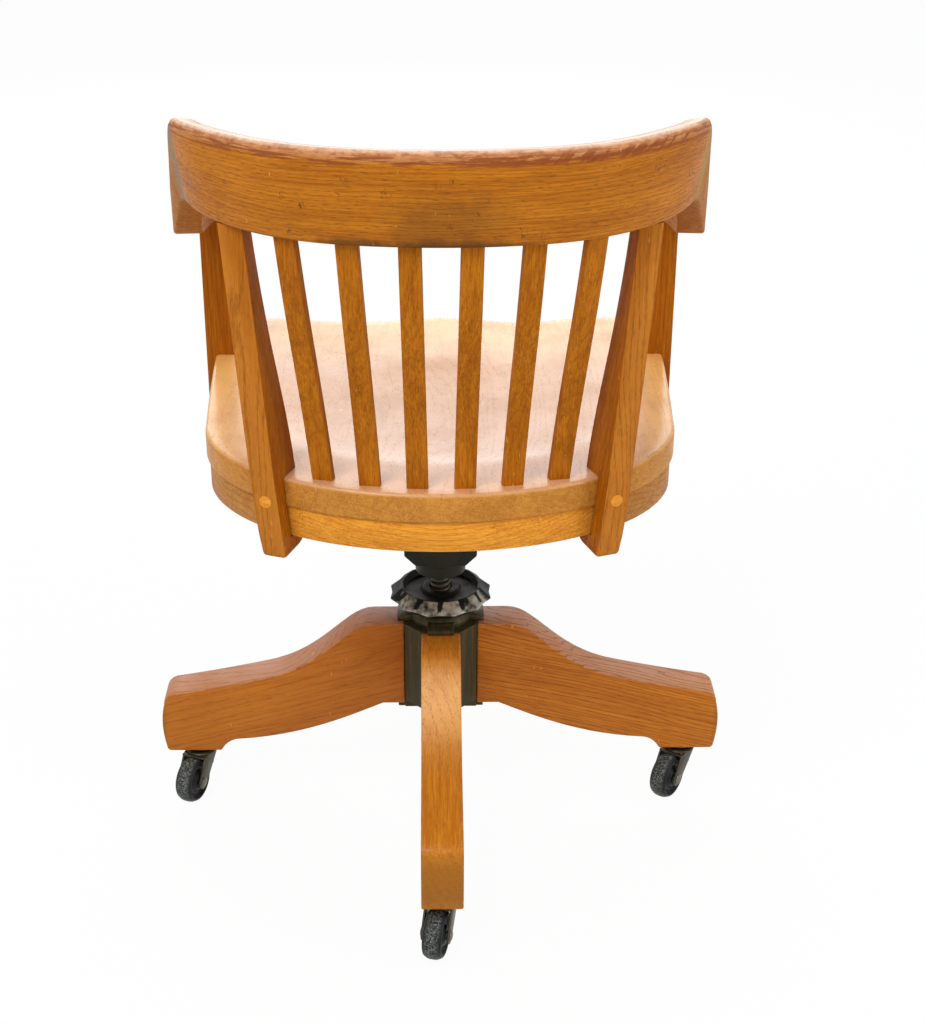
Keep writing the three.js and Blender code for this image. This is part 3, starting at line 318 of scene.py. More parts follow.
SLOW_FIGURE = ((2.6, 17, 17), (0, 0, 0), 2.0, 0.5)
FIBRES = ((20, 600, 600), (0, 0, 0), 4.0, 0.68)
BANDS = ((3.5, 120, 120), (2, 1, 5), 3.0, 0.6)
DASHES = ((60, 520, 520), (5, 2, 7), 2.0, 0.5)
PORES = ((95, 980, 980), (3, 7, 1), 1.0, 0.5)
MOTTLE = ((70, 110, 150), (4, 4, 8), 3.0, 0.6)
NICKS = ((330, 80, 90), (2, 5, 3), 1.0, 0.5)
CROOKED_MARKS = ((230, 120, 55), (7, 1, 2), 2.0, 0.5)
MARK_PLACES = ((52, 52, 44), (9, 3, 5), 1.0, 0.5)
CREST_STREAKING = ((20, 240, 60), (4, 2, 1), 4.0, 0.7)
CREST_HATCHING = ((42, 210, 60), (0, 0, 0), 2.0, 0.5)
RUST_RUNS = ((210, 210, 14), (0, 0, 0), 3.0, 0.6)
BROAD_WEAR = (28.0, 3.0, 0.6)
FINE_WEAR = (240.0, 3.0, 0.65)
CLOUDS = (13.0, 4.0, 0.6)
NICK_PLACES = (30.0, 1.0, 0.5)
PATCHES = (60.0, 4.0, 0.65)
PITS = (620.0, 2.0, 0.6)
STAIN_EDGE = (55.0, 4.0, 0.65)
SPECKLES = (620.0, 4.0, 0.75)
NOISE_MIDDLE = 0.5
RING_SCALE = 52.0
RING_SWAY = {"Y": 0.04, "Z": 0.03}

# Where each noise starts and ends to count, and what it counts for there

DASH_SPAN = (0.36, 0.56, 0.25, 1.0)
LINE_SPAN = (0.8, 0.99)
EARLY_SPAN = (0.1, 0.7, 0.35, 1.0)
PORE_SPAN = (0.55, 0.68)
TONE_SPAN = (0.37, 0.63)
WEAR_SPAN = (0.86, 1.06)
MOTTLE_SPAN = (0.42, 0.6)
CLOUD_SPAN = (0.4, 0.7)
NICK_SPAN = (0.71, 0.75)
NICK_PLACE_SPAN = (0.62, 0.66)
RIDGE_SPAN = (0.006, 0.022, 1.0, 0.0)
MARK_PLACE_SPAN = (0.65, 0.7)
PATCH_SPAN = (0.42, 0.68)
PIT_SPAN = (0.55, 0.72)
STAIN_SPAN = (0.75, 1.45, 1.0, 0.0)
STREAK_SPAN = (0.46, 0.53)
HATCH_SPAN = (0.5, 0.57)
RUST_SPAN = (0.48, 0.62)
SPECKLE_SPAN = (0.46, 0.62)

# How strongly each effect shows

TONE_SHARES = (0.5, 0.3, 0.2)
RELIEF_SHARES = (0.5, -0.7, -0.5)
EDGE_WEAR_SHARES = (0.5, 0.6, 0.4)
SKIN_SHARES = (0.6, 0.4)
OAK_ROUGHNESS_SHARES = (0.12, 0.2, 0.12)
METAL_ROUGHNESS_SHARES = (0.18, -0.12)
STAIN_EDGE_SHARE = 0.9
CLOUD_SHARE = 0.3
PIT_SHARE = 0.35
DUST_SHARE = 0.06
TREAD_ROUGHNESS_SHARE = 0.3
GROWTH_TINT_SHARES = (0.46, 0.42, 0.5)
DEEP_TINT_SHARES = (1, 0.82, 0.6)
LIGHT_TINT_SHARES = (1.1, 1.13, 1.15)
METAL_DEEP_SHARE = 0.5
METAL_LIGHT_SHARE = 1.7
NICK_LIGHT_SHARE = 1.5
NICK_LIFT = 0.1
TOP_WEAR_RAGGED = 0.009
TOP_WEAR_SHARE = 0.75
TOP_RED_SHARE = 0.35
# Tint and strength of the painted highlight along the top of the rail
CREST_HIGHLIGHT_TINT = (1.0, 0.95, 0.85)
CREST_HIGHLIGHT_TINT_SHARE = 0.55
CREST_HIGHLIGHT_SHARE = 0.8
CREST_STREAK_SHARE = 0.85
CREST_HATCH_TURN = (0.0, 0.0, 0.8)
CREST_HATCH_SHARE = 0.75
BUMP_STRENGTH = 0.3
BUMP_DISTANCE = 0.0006
RUBBER_BUMP_DISTANCE = 0.0005
COAT_ROUGHNESS = 0.22
RUBBER_ROUGHNESS = 0.42
RUBBER_GLOSS = 0.15

# Each oak has its colour, its shares of dark wood, growth lines, pores and worn edges, and what else differs

CREST_SPOTS = (
    ((-0.004, 0.245, 0.728), (0.070, 0.2, 0.036), 0.42),
    ((-0.004, 0.24, 0.703), (0.095, 0.2, 0.011), 0.95),
    ((0.075, 0.24, 0.706), (0.04, 0.2, 0.008), 0.8),
)
ARM_SHARES = (0.72, 0.35, 0.4, 0.2)
ARM_FINISH = {"roughness": 0.5, "gloss": 0.06}
LEG_FINISH = {"roughness": 0.38, "gloss": 0.16, "coat": 0.08, "mark_share": 0.2}
LEG_END_LAYER = ("end", "leg_end", 0.8)
# The legs' top layer is a painted sheen on their upward faces; the end layer is their darker end grain
LEG_SHEEN_AND_END_LAYERS = (("top", "leg_top", 0.62), LEG_END_LAYER)
OAKS = {
    "crest": ("crest", (0.68, 0.5, 0.6, 0.5), {
        "gloss": 0.1, "coat": 0.04, "mark_share": 0.9, "scale": 1.5,
        "spots": CREST_SPOTS, "top_wear": CREST_WEAR}),
    # The arm ends carry painted lamp tints: grey on the left arm, olive on the right
    "left arm": ("arms", ARM_SHARES, {**ARM_FINISH, "layers": (("joint", "left_joint", 0.9),)}),
    "right arm": ("arms", ARM_SHARES, {**ARM_FINISH, "layers": (("joint", "right_joint", 0.9),)}),
    "slats": ("slats", (0.62, 0.2, 0.5, 0.1), {"gloss": 0.06, "scale": 1.3}),
    # The posts' face layer is painted light: their rear faces, which face the lamps, are painted paler than
    # their shaded sides
    "posts": ("posts", (0.68, 0.4, 0.4, 0.1), {
        "gloss": 0.06, "scale": 1.3, "layers": (("face", "post_lit_face", 0.55),)}),
    # The board's upper layer is painted light on its top, and its sat-on layer a painted sheen over the
    # middle
    "board": ("board", (0.66, 0.14, 0.3, 0.15), {
        "roughness": 0.36, "gloss": 0.15, "coat": 0.6, "coat_mask": "upper", "scale": 1.7,
        "layers": (("upper", "upper", 0.82), ("sat_on", "sat_on", 0.75))}),
    "apron": ("apron", (0.76, 0.4, 0.35, 0.15), {"gloss": 0.1, "scale": 1.5}),
    "side apron": ("side_apron", (0.76, 0.45, 0.35, 0.15), {"gloss": 0.1}),
    # The right and front legs take an oak lightened to stand in for lamp light the right leg gets less of
    "legs": ("right_leg", (0.76, 0.9, 0.3, 0.4), {**LEG_FINISH, "scale": 1.5, "layers": LEG_SHEEN_AND_END_LAYERS}),
    "smooth leg": ("legs", (0.84, 0.3, 0.3, 0.4), {**LEG_FINISH, "nick_share": 0.7, "layers": LEG_SHEEN_AND_END_LAYERS}),
    # The rear leg carries a painted highlight band across its upper part
    "rear leg": ("rear_leg", (0.74, 0.15, 0.35, 0.3), {
        **LEG_FINISH, "scale": 0.8, "layers": (("steep", "leg_band", 0.85), LEG_END_LAYER)}),
    "plug": ("apron", (0.75, 0.2, 0.3, 0.2), {}),
}

# Each metal has its name, its colours, how metallic, rough, worn and bumpy it is, and what else differs

METALS = {
    "iron": ("Cast iron", "iron", "iron_worn", (0.3, 0.42, 0.45, 0.5), {"gloss": 0.2, "streak_share": 0.6}),
    # The swivel head's iron is a darker copy of the cast iron, painted shade for its place under the seat
    "head iron": ("Head iron", "head", "head_worn", (0.3, 0.42, 0.7, 0.5), {"gloss": 0.15}),
    "nut": ("Hand nut iron", "nut", "nut_worn", (0.3, 0.4, 0.95, 0.4), {
        "patch_share": 0.2, "gloss": 0.15, "wear_scale": 0.6}),
    "bronze": ("Bronzed steel", "bronze", "bronze_worn", (0.6, 0.38, 0.5, 0.3), {}),
    "steel": ("Bare steel", "steel", "steel_worn", (0.8, 0.34, 0.4, 0.2), {}),
}

# Camera and stage

CAMERA_SPOT = (0.0082, 1.690, 1.1682)
CAMERA_PITCH = 0.4545
CAMERA_TURN = 0.0185
CAMERA_ROLL = 0.0046
CAMERA_LENS = 42.19
SENSOR_HEIGHT = 24
FLOOR_HALF_WIDTH = 6
FLOOR_COLOUR = (0.8, 0.8, 0.8)
FLOOR_ROUGHNESS = 0.9
FLOOR_GLOW_SHARE = 0.95
WORLD_STRENGTH = 0.6
WHITE = (1, 1, 1, 1)
LAMP_AIM = (0, 0, 0.45)
LAMPS = (
    ("Key lamp", (1.1, 1.7, 2.7), 1.4, 46),
    ("Back lamp", (0.2, -3.0, 2.0), 3.4, 54),
    ("Side lamp", (-2.2, 1.2, 1.5), 1.4, 19),
)

LEG_ANGLES = {"front": -QUARTER, "left": 0, "rear": QUARTER, "right": math.pi}


def linear(red, green, blue):
    """A colour as the eye reads it, from 0 to 255, as the shaders need it."""
    def level(value):
        share = value / 255
        return share / 12.92 if share <= 0.04045 else ((share + 0.055) / 1.055) ** 2.4
    return level(red), level(green), level(blue)


# Settings

SIZES = {
    "seat_height": ("Seat height", "Top of the seat over the floor", 0.457),
    "seat_half_width": ("Half seat width", "From the middle to the widest side", 0.235),
    "seat_front_reach": ("Seat reach", "From the screw to the front edge", 0.280),
    "board_thickness": ("Board thickness", "Thickness of the scooped board", 0.029),
    "crest_rise": ("Crest rise", "From the seat to the crest rail", 0.247),
    "crest_height": ("Crest height", "Height of the crest rail", 0.088),
    "arm_height": ("Arm height", "From the seat to the arm pads", 0.202),
    "leg_reach": ("Leg reach", "From the screw to a leg's end", 0.304),
    "leg_thickness": ("Leg thickness", "Width of a leg", 0.041),
    "nut_radius": ("Nut radius", "Radius of the hand nut", 0.055),
    "wheel_radius": ("Wheel radius", "Radius of a caster wheel", 0.025),
    "wood_edge": ("Wood edge", "Rounding of a worn oak edge", 0.0022),
    "metal_edge": ("Metal edge", "Rounding of an edge of iron or steel", 0.0009),
}

COLOURS = {
    "crest": ("Crest oak", "Golden oak of the crest rail", (195, 119, 22)),
    "arms": ("Arm oak", "Golden brown oak of the arms", (178, 114, 36)),
    # Painted light: the grey left arm end and the olive right arm end stand in for how differently the lamps
    # lit the two ends
    "left_joint": ("Left arm end", "Greyed oak where the left arm meets the crest", (138, 121, 96)),
    "right_joint": ("Right arm end", "Olive oak where the right arm meets the crest", (168, 130, 50)),
    "slats": ("Slat oak", "Yellow oak of the slats", (184, 110, 20)),
    "posts": ("Post oak", "Tan oak of the posts", (170, 97, 12)),
    # Painted light: the back posts' rear faces are painted paler than their shaded inner sides
    "post_lit_face": ("Post face oak", "Paler oak of the back posts' rear faces", (206, 132, 52)),
    "board": ("Board oak", "Oak of the seat's edge", (203, 139, 56)),
    "apron": ("Apron oak", "Bright oak under the board", (229, 154, 52)),
    "side_apron": ("Side apron oak", "Duller oak under the board's sides", (188, 130, 62)),
    # Painted light: the board's top is painted much brighter than its edge, as the light falling on it from
    # above
    "upper": ("Seat top", "Golden oak of the seat's sides", (243, 182, 104)),
    # Painted reflection: the pale pinkish middle of the seat stands in for the sheen of bright light on the
    # varnish
    "sat_on": ("Polished oak", "Pale oak where the seat is worn", (200, 150, 116)),
    "rear_leg": ("Rear leg oak", "Brighter oak of the rear leg", (202, 128, 34)),
    # Painted light: the right and front legs' oak is lifted above the left leg's, for light the right leg
    # gets less of from the lamps
    "right_leg": ("Right leg oak", "Oak of the right and front legs", (194, 116, 26)),
    # Painted sheen: the upper faces of the side legs are painted pinkish, as the light they catch from above
    "leg_top": ("Faded leg top", "Faded oak on the upper faces of the side legs", (186, 138, 108)),
    "leg_end": ("Leg end", "Darker end grain of the legs", (146, 92, 18)),
    # Painted highlight: a pale band across the upper part of the rear leg
    "leg_band": ("Rear leg band", "Pale oak where the rear leg is steep", (232, 174, 110)),
    "legs": ("Leg oak", "Orange oak of the left leg", (180, 106, 26)),
    "worn": ("Bare wood", "Pinkish wood where the varnish has gone", (208, 150, 104)),
    "red": ("Red varnish", "Darkened varnish left between the bare places", (138, 66, 28)),
    "stain": ("Stain", "Dark marks in the oak", (94, 58, 22)),
    "iron": ("Iron", "Painted cast iron", (57, 53, 31)),
    "iron_worn": ("Worn iron", "Edges of the castings", (128, 116, 84)),
    "rust": ("Browned paint", "Brown streaks down the castings", (92, 68, 34)),
    # Painted shade: the swivel head under the seat is painted darker than the same iron of the hub
    "head": ("Head iron", "Darker painted iron over the hand nut", (40, 39, 31)),
    "head_worn": ("Worn head", "Edges of the swivel head", (126, 120, 98)),
    "nut": ("Nut iron", "Black paint of the hand nut", (24, 25, 22)),
    # Partly real wear and partly painted glint: the bare iron is laid only on the flats on the chair's rear
    # side, facing the camera
    "nut_worn": ("Worn nut", "Bare iron on the flats of the hand nut", (182, 180, 166)),
    "bronze": ("Bronzed steel", "Browned steel of the screw and forks", (66, 60, 46)),
    "bronze_worn": ("Worn bronzing", "Edges of the screw and forks", (104, 90, 66)),
    "steel": ("Steel", "Bare steel", (104, 101, 92)),
    "steel_worn": ("Bright steel", "Rubbed edges of bare steel", (150, 144, 128)),
    "rubber": ("Rubber", "Black wheels", (26, 29, 28)),
    "tread": ("Worn tread", "Scuffed running face of a wheel", (122, 125, 120)),
}


class ChairSizes(bpy.types.PropertyGroup):
    """The sizes that drive the chair."""

    __annotations__ = {
        name: bpy.props.FloatProperty(name=label, description=note, default=size, unit="LENGTH")
        for name, (label, note, size) in SIZES.items()}


class ChairColours(bpy.types.PropertyGroup):
    """The finishes that a user would change."""

    __annotations__ = {
        name: bpy.props.FloatVectorProperty(
            name=label, description=note, default=linear(*shade), subtype="COLOR")
        for name, (label, note, shade) in COLOURS.items()}


# Curves

def ease(value, start, end):
    """A smooth step from nought at start to one at end."""
    share = min(1, max(0, (value - start) / (end - start)))
    return share * share * (3 - 2 * share)


def arc(centre, radius_x, radius_y, start, end, steps):
    """Points along an arc in a plane."""
    angles = [start + (end - start) * i / steps for i in range(steps + 1)]
    return [Vector((centre[0] + radius_x * math.cos(a), centre[1] + radius_y * math.sin(a))) for a in angles]


def bezier(controls, steps):
    """Points along a curve drawn by its controls."""
    points = []
    for i in range(steps + 1):
        level = [Vector(c) for c in controls]
        while len(level) > 1:
            level = [a.lerp(b, i / steps) for a, b in zip(level, level[1:])]
        points.append(level[0])
    return points


def carry_on(outline, *controls, steps=CURVE_STEPS):
    """Adds a curve that starts at the last point of an outline."""
    outline += bezier((outline[-1], *controls), steps)[1:]


def evenly(points, steps):
    """The same line drawn by points that lie evenly along it."""
    reach = [0]
    for a, b in zip(points, points[1:]):
        reach.append(reach[-1] + (b - a).length)
    line = []
    place = 0
    for i in range(steps + 1):
        wanted = reach[-1] * i / steps
        while place < len(points) - 2 and reach[place + 1] < wanted:
            place += 1
        run = reach[place + 1] - reach[place]
        line.append(points[place].lerp(points[place + 1], (wanted - reach[place]) / run))
    return line


def rounded(half_width, half_height, radii):
    """Points round an oblong whose corners have their own radii, from the lower right one."""
    points = []
    for corner, radius in enumerate(radii):
        right = 1 if corner in (0, 1) else -1
        upper = 1 if corner in (1, 2) else -1
        centre = (right * (half_width - radius), upper * (half_height - radius))
        start = QUARTER * (corner - 1)
        points += arc(centre, radius, radius, start, start + QUARTER, CORNER_STEPS)
    return points


def rubbed_corners(*corners):
    """The places in a rounded section that lie inside its corners."""
    return {corner * (CORNER_STEPS + 1) + i for corner in corners for i in range(1, CORNER_STEPS)}


# Mesh work

def grow(bm, rings, closed=False, rubbed=()):
    """Extrudes the first ring of points through the others. An open run is capped, a closed one joined.
    The places of a ring that are rubbed are marked as worn."""
    worn = bm.verts.layers.float["worn"]
    ring = [bm.verts.new(place) for place in rings[0]]
    first = [bm.edges.new((ring[i - 1], ring[i])) for i in range(len(ring))]
    edges = first
    for i in rubbed:
        ring[i][worn] = 1
    for places in rings[1:]:
        grown = bmesh.ops.extrude_edge_only(bm, edges=edges)["geom"]
        twins = {v.co.to_tuple(): v for v in grown if isinstance(v, bmesh.types.BMVert)}
        ring = [twins[v.co.to_tuple()] for v in ring]
        members = set(ring)
        edges = [e for e in grown if isinstance(e, bmesh.types.BMEdge) and members.issuperset(e.verts)]
        for vert, place in zip(ring, places):
            vert.co = place
        for i in rubbed:
            ring[i][worn] = 1
    if closed:
        bmesh.ops.bridge_loops(bm, edges=first + edges)
    else:
        bmesh.ops.edgeloop_fill(bm, edges=first)
        bmesh.ops.edgeloop_fill(bm, edges=edges)
    return bm


def fresh():
    """An empty mesh with a place for its worn edges."""
    bm = bmesh.new()
    bm.verts.layers.float.new("worn")
    return bm


def plate(outline, place, low, high):
    """A plate sawn to an outline. place turns an outline point and a depth into a point of the chair."""
    return grow(fresh(), [[place(point, depth) for point in outline] for depth in (low, high)])


def facing(point, depth):
    """The place of an outline drawn as it is seen from the front or the rear."""
    return Vector((point[0], depth, point[1]))


def sideways(start):
    """Places an outline drawn as it is seen from the side, from a step across the chair."""
    return lambda point, depth: Vector((start + depth, point[0], point[1]))


def turned(profile, matrix, steps=ROUND_STEPS):
    """A piece turned on a lathe round the upright axis, and then moved into place."""
    bm = fresh()
    line = [bm.verts.new((radius, 0, height)) for radius, height in profile]
    edges = [bm.edges.new(pair) for pair in zip(line, line[1:])]
    bmesh.ops.spin(
        bm, geom=line + edges, axis=(0, 0, 1), cent=(0, 0, 0), angle=TURN, steps=steps, use_merge=True)
    bmesh.ops.remove_doubles(bm, verts=bm.verts, dist=LATHE_MERGE_REACH)
    bmesh.ops.transform(bm, matrix=matrix, verts=bm.verts)
    return bm


def rod(radius, low, high, matrix, steps=ROUND_STEPS):
    return turned([(0, low), (radius, low), (radius, high), (0, high)], matrix, steps)


def block(low, high):
    """A block between two corners."""
    bm = fresh()
    low, high = Vector(low), Vector(high)
    bmesh.ops.create_cube(bm, size=1)
    bmesh.ops.scale(bm, vec=high - low, verts=bm.verts)
    bmesh.ops.translate(bm, vec=(low + high) / 2, verts=bm.verts)
    return bm


def soften(bm, width, segments=3, angle=SOFTEN_ANGLE):
    """Rounds the edges that turn more than the angle and marks the roundings as worn."""
    bmesh.ops.recalc_face_normals(bm, faces=bm.faces)
    sharp = [e for e in bm.edges if len(e.link_faces) == 2 and e.calc_face_angle(0) > angle]
    made = bmesh.ops.bevel(
        bm, geom=sharp, offset=width, segments=segments, profile=0.5, affect="EDGES",
        material=-1, clamp_overlap=True)
    rounding = set(made["faces"])
    worn = bm.verts.layers.float["worn"]
    for face in rounding:
        for vert in face.verts:
            if all(near in rounding for near in vert.link_faces):
                vert[worn] = 1
    return bm


def mesh_of(bm):
    """Turns the worked mesh into a finished one."""
    bmesh.ops.remove_doubles(bm, verts=bm.verts, dist=MERGE_REACH)
    bmesh.ops.recalc_face_normals(bm, faces=bm.faces)
    mesh = bpy.data.meshes.new("work")
    bm.to_mesh(mesh)
    bm.free()
    return mesh


def combined(body, tools, operation):
    """The body with the tools joined to it or cut out of it, as a worked mesh."""
    def held(bm):
        thing = bpy.data.objects.new("work", mesh_of(bm))
        bpy.context.scene.collection.objects.link(thing)
        return thing
    main = held(body)
    others = [held(tool) for tool in tools]
    for other in others:
        step = main.modifiers.new("step", "BOOLEAN")
        step.operation = operation
        step.solver = "EXACT"
        step.object = other
    seen = main.evaluated_get(bpy.context.evaluated_depsgraph_get())
    bm = bmesh.new()
    bm.from_mesh(seen.to_mesh())
    seen.to_mesh_clear()
    for thing in [main] + others:
        spare = thing.data
        bpy.data.objects.remove(thing)
        bpy.data.meshes.remove(spare)
    if "worn" not in bm.verts.layers.float:
        bm.verts.layers.float.new("worn")
    return bm


def carved(body, *tools):
    return combined(body, tools, "DIFFERENCE")


def fused(body, *others):
    return combined(body, others, "UNION")


def mirror(bm):
    """The same piece for the other side of the chair."""
    other = bm.copy()
    bmesh.ops.scale(other, vec=(-1, 1, 1), verts=other.verts)
    bmesh.ops.reverse_faces(other, faces=other.faces)
    return other


def finish_piece(node, bm, body, material, grain=None, masks=None, part="", bend=None):
    """Makes the worked mesh into the piece that stands for a node of the frame, or for a part of one.
    A bend names a second body, and where the piece starts and ends to follow it."""
    bmesh.ops.remove_doubles(bm, verts=bm.verts, dist=MERGE_REACH)
    bmesh.ops.recalc_face_normals(bm, faces=bm.faces)
    bm.normal_update()
    along = bm.verts.layers.float_vector.new("grain")
    extra = {name: bm.verts.layers.float.new(name) for name in masks or {}}
    for vert in bm.verts:
        vert[along] = grain(vert.co) if grain else vert.co
        for name, layer in extra.items():
            vert[layer] = masks[name](vert)
    mesh = bpy.data.meshes.new(node + part + "_finished")
    bm.to_mesh(mesh)
    bm.free()
    mesh.shade_smooth()
    mesh.set_sharp_from_angle(angle=SHARP_ANGLE)
    mesh.materials.append(material)
    piece = bpy.data.objects.new(node + part + "_finished", mesh)
    bpy.context.scene.collection.objects.link(piece)
    if bend:
        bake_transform(piece, body, *bend)
    else:
        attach(piece, body)
    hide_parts(node)
    return piece


def finish_pair(name, shape, finishes, direction, seed, masks=None):
    """Finishes a piece of the left side and its mirror image on the right, each cut from its own board."""
    x, y, z = direction
    mirrored = mirror(shape)
    finish_piece(name + "_left", shape, "seat", materials[finishes[0]], board_grain((x, y, z), seed), masks)
    finish_piece(
        name + "_right", mirrored, "seat", materials[finishes[1]], board_grain((-x, y, z), seed + 1), masks)


def board_grain(direction, seed):
    """Where a point lies in its own board: along the grain first. Each board is cut from another tree."""
    along = Vector(direction).normalized()
    side = Vector((0, 0, 1)) if abs(along.z) < UPRIGHT_GRAIN else Vector((0, 1, 0))
    across = side.cross(along).normalized()
    through = along.cross(across)
    steps = [seed * step for step in GRAIN_STEPS]
    start = Vector((steps[0], steps[1] % GRAIN_ROOM[0], steps[2] % GRAIN_ROOM[1]))
    return lambda co: start + Vector((co.dot(along), co.dot(across), co.dot(through)))


# Materials

def put(tree, kind, values=None, **settings):
    """Adds a node, sets it up and feeds its sockets."""
    node = tree.nodes.new(kind)
    for name, value in settings.items():
        setattr(node, name, value)
    for key, value in (values or {}).items():
        if isinstance(value, bpy.types.NodeSocket):
            tree.links.new(value, node.inputs[key])
        else:
            node.inputs[key].default_value = value
    return node


def sum_of(tree, operation, *values):
    return put(tree, "ShaderNodeMath", dict(enumerate(values)), operation=operation).outputs[0]


def times(tree, value, share):
    return sum_of(tree, "MULTIPLY", value, share)


def weighed(tree, values, shares):
    """The sum of some values, each times its share."""
    terms = [times(tree, value, share) for value, share in zip(values, shares)]
    total = terms[0]
    for term in terms[1:]:
        total = sum_of(tree, "ADD", total, term)
    return total


def mixed(tree, share, first, second):
    """A colour between two, nearer to the second as the share grows."""
    first, second = (
        value if isinstance(value, bpy.types.NodeSocket) else (*value[:3], 1) for value in (first, second))
    return put(tree, "ShaderNodeMix", {0: share, 6: first, 7: second}, data_type="RGBA").outputs[2]


def covered(tree, tone, mask, share, cover):
    """The tone with a cover laid over it, up to a share where the mask is one."""
    return mixed(tree, times(tree, mask, share), tone, cover)


def stepped(tree, value, low, high, start=0.0, end=1.0):
    """Maps a value smoothly from between low and high to between start and end."""
    node = put(tree, "ShaderNodeMapRange", {
        "Value": value, "From Min": low, "From Max": high, "To Min": start, "To Max": end,
    }, interpolation_type="SMOOTHSTEP")
    return node.outputs["Result"]


def stretched(tree, vector, scale, offset):
    node = put(tree, "ShaderNodeMapping", {"Vector": vector, "Scale": scale, "Location": offset})
    return node.outputs["Vector"]


def scaled(tree, vector, scale):
    return put(tree, "ShaderNodeVectorMath", {0: vector, 3: scale}, operation="SCALE").outputs[0]


def noise(tree, vector, scale, detail, roughness):
    node = put(tree, "ShaderNodeTexNoise", {
        "Vector": vector, "Scale": scale, "Detail": detail, "Roughness": roughness,
    })
    return node.outputs["Fac"]


def drawn(tree, vector, stretch, start, detail, roughness):
    """Noise drawn out along the axes of its vector."""
    return noise(tree, stretched(tree, vector, stretch, start), 1.0, detail, roughness)


def read(tree, name, output="Fac"):
    return put(tree, "ShaderNodeAttribute", attribute_name=name).outputs[output]


def effect(name, inputs, work_out):
    """A node group that works out some values from its inputs, for the materials to share."""
    tree = bpy.data.node_groups.new(name, "ShaderNodeTree")
    for label, kind in inputs.items():
        tree.interface.new_socket(label, in_out="INPUT", socket_type=kind)
    values = work_out(tree, tree.nodes.new("NodeGroupInput").outputs)
    for label in values:
        tree.interface.new_socket(label, in_out="OUTPUT", socket_type=FLOAT)
    put(tree, "NodeGroupOutput", values)
    return tree


def oak_figure(tree, start):
    """Fibres, growth lines broken into dashes, and pores, all drawn out along the grain."""
    grain = scaled(tree, start["Grain"], start["Scale"])
    slow = drawn(tree, grain, *SLOW_FIGURE)
    sway = put(tree, "ShaderNodeCombineXYZ", {
        axis: times(tree, slow, reach) for axis, reach in RING_SWAY.items()})
    swayed = put(tree, "ShaderNodeVectorMath", {0: grain, 1: sway.outputs[0]}, operation="ADD")
    rings = put(tree, "ShaderNodeTexWave", {"Vector": swayed.outputs[0], "Scale": RING_SCALE, "Detail": 0.0},
                wave_type="RINGS", rings_direction="X").outputs["Fac"]
    fibres = drawn(tree, grain, *FIBRES)
    bands = drawn(tree, grain, *BANDS)
    broken = stepped(tree, drawn(tree, grain, *DASHES), *DASH_SPAN)
    lines = times(tree, stepped(tree, rings, *LINE_SPAN), broken)
    early = stepped(tree, rings, *EARLY_SPAN)
    pores = times(tree, stepped(tree, drawn(tree, grain, *PORES), *PORE_SPAN), early)
    return {
        "Tone": stepped(tree, weighed(tree, (fibres, bands, slow), TONE_SHARES), *TONE_SPAN),
        "Lines": lines,
        "Pores": pores,
        "Height": weighed(tree, (fibres, pores, lines), RELIEF_SHARES),
    }


def edge_wear(tree, start):
    """Where an edge has lost its finish, broken up so that it doesn't run evenly."""
    place = start["Place"]
    broad = noise(tree, place, *BROAD_WEAR)
    fine = noise(tree, scaled(tree, place, start["Size"]), *FINE_WEAR)
    return {
        "Wear": stepped(tree, weighed(tree, (start["Worn"], broad, fine), EDGE_WEAR_SHARES), *WEAR_SPAN),
        "Mottle": stepped(tree, drawn(tree, place, *MOTTLE), *MOTTLE_SPAN),
    }


def grime(tree, start):
    """Dull clouds of handling, pale nicks and crooked dark marks."""
    place = start["Place"]
    nicks = stepped(tree, drawn(tree, place, *NICKS), *NICK_SPAN)
    nick_places = stepped(tree, noise(tree, place, *NICK_PLACES), *NICK_PLACE_SPAN)
    off_middle = sum_of(tree, "SUBTRACT", drawn(tree, place, *CROOKED_MARKS), NOISE_MIDDLE)
    ridge = sum_of(tree, "ABSOLUTE", off_middle)
    mark_places = stepped(tree, drawn(tree, place, *MARK_PLACES), *MARK_PLACE_SPAN)
    return {
        "Cloud": stepped(tree, noise(tree, place, *CLOUDS), *CLOUD_SPAN),
        "Nicks": times(tree, nicks, nick_places),
        "Marks": times(tree, stepped(tree, ridge, *RIDGE_SPAN), mark_places),
    }


def metal_skin(tree, start):
    """The pitted skin of cast or browned metal."""
    patches = noise(tree, start["Place"], *PATCHES)
    pits = noise(tree, start["Place"], *PITS)
    return {
        "Patch": stepped(tree, patches, *PATCH_SPAN),
        "Pits": stepped(tree, pits, *PIT_SPAN),
        "Height": weighed(tree, (patches, pits), SKIN_SHARES),
    }


FLOAT = "NodeSocketFloat"
VECTOR = "NodeSocketVector"
EFFECTS = {
    "Oak figure": ({"Grain": VECTOR, "Scale": FLOAT}, oak_figure),
    "Edge wear": ({"Worn": FLOAT, "Place": VECTOR, "Size": FLOAT}, edge_wear),
    "Grime": ({"Place": VECTOR}, grime),
    "Metal skin": ({"Place": VECTOR}, metal_skin),
}
effects = {}
materials = {}


def use(tree, name, values):
    """Puts one of the shared effects into a material."""
    return put(tree, "ShaderNodeGroup", values, node_tree=effects[name]).outputs


def blank(name):
    """A new material with its surface shader, and the place of a point on the chair."""
    material = bpy.data.materials.new(name)
    material.use_nodes = True
    tree = material.node_tree
    tree.nodes.clear()
    surface = tree.nodes.new("ShaderNodeBsdfPrincipled")
    end = tree.nodes.new("ShaderNodeOutputMaterial")
    tree.links.new(surface.outputs[0], end.inputs["Surface"])
    place = put(tree, "ShaderNodeTexCoord").outputs["Object"]
    return material, tree, surface, place


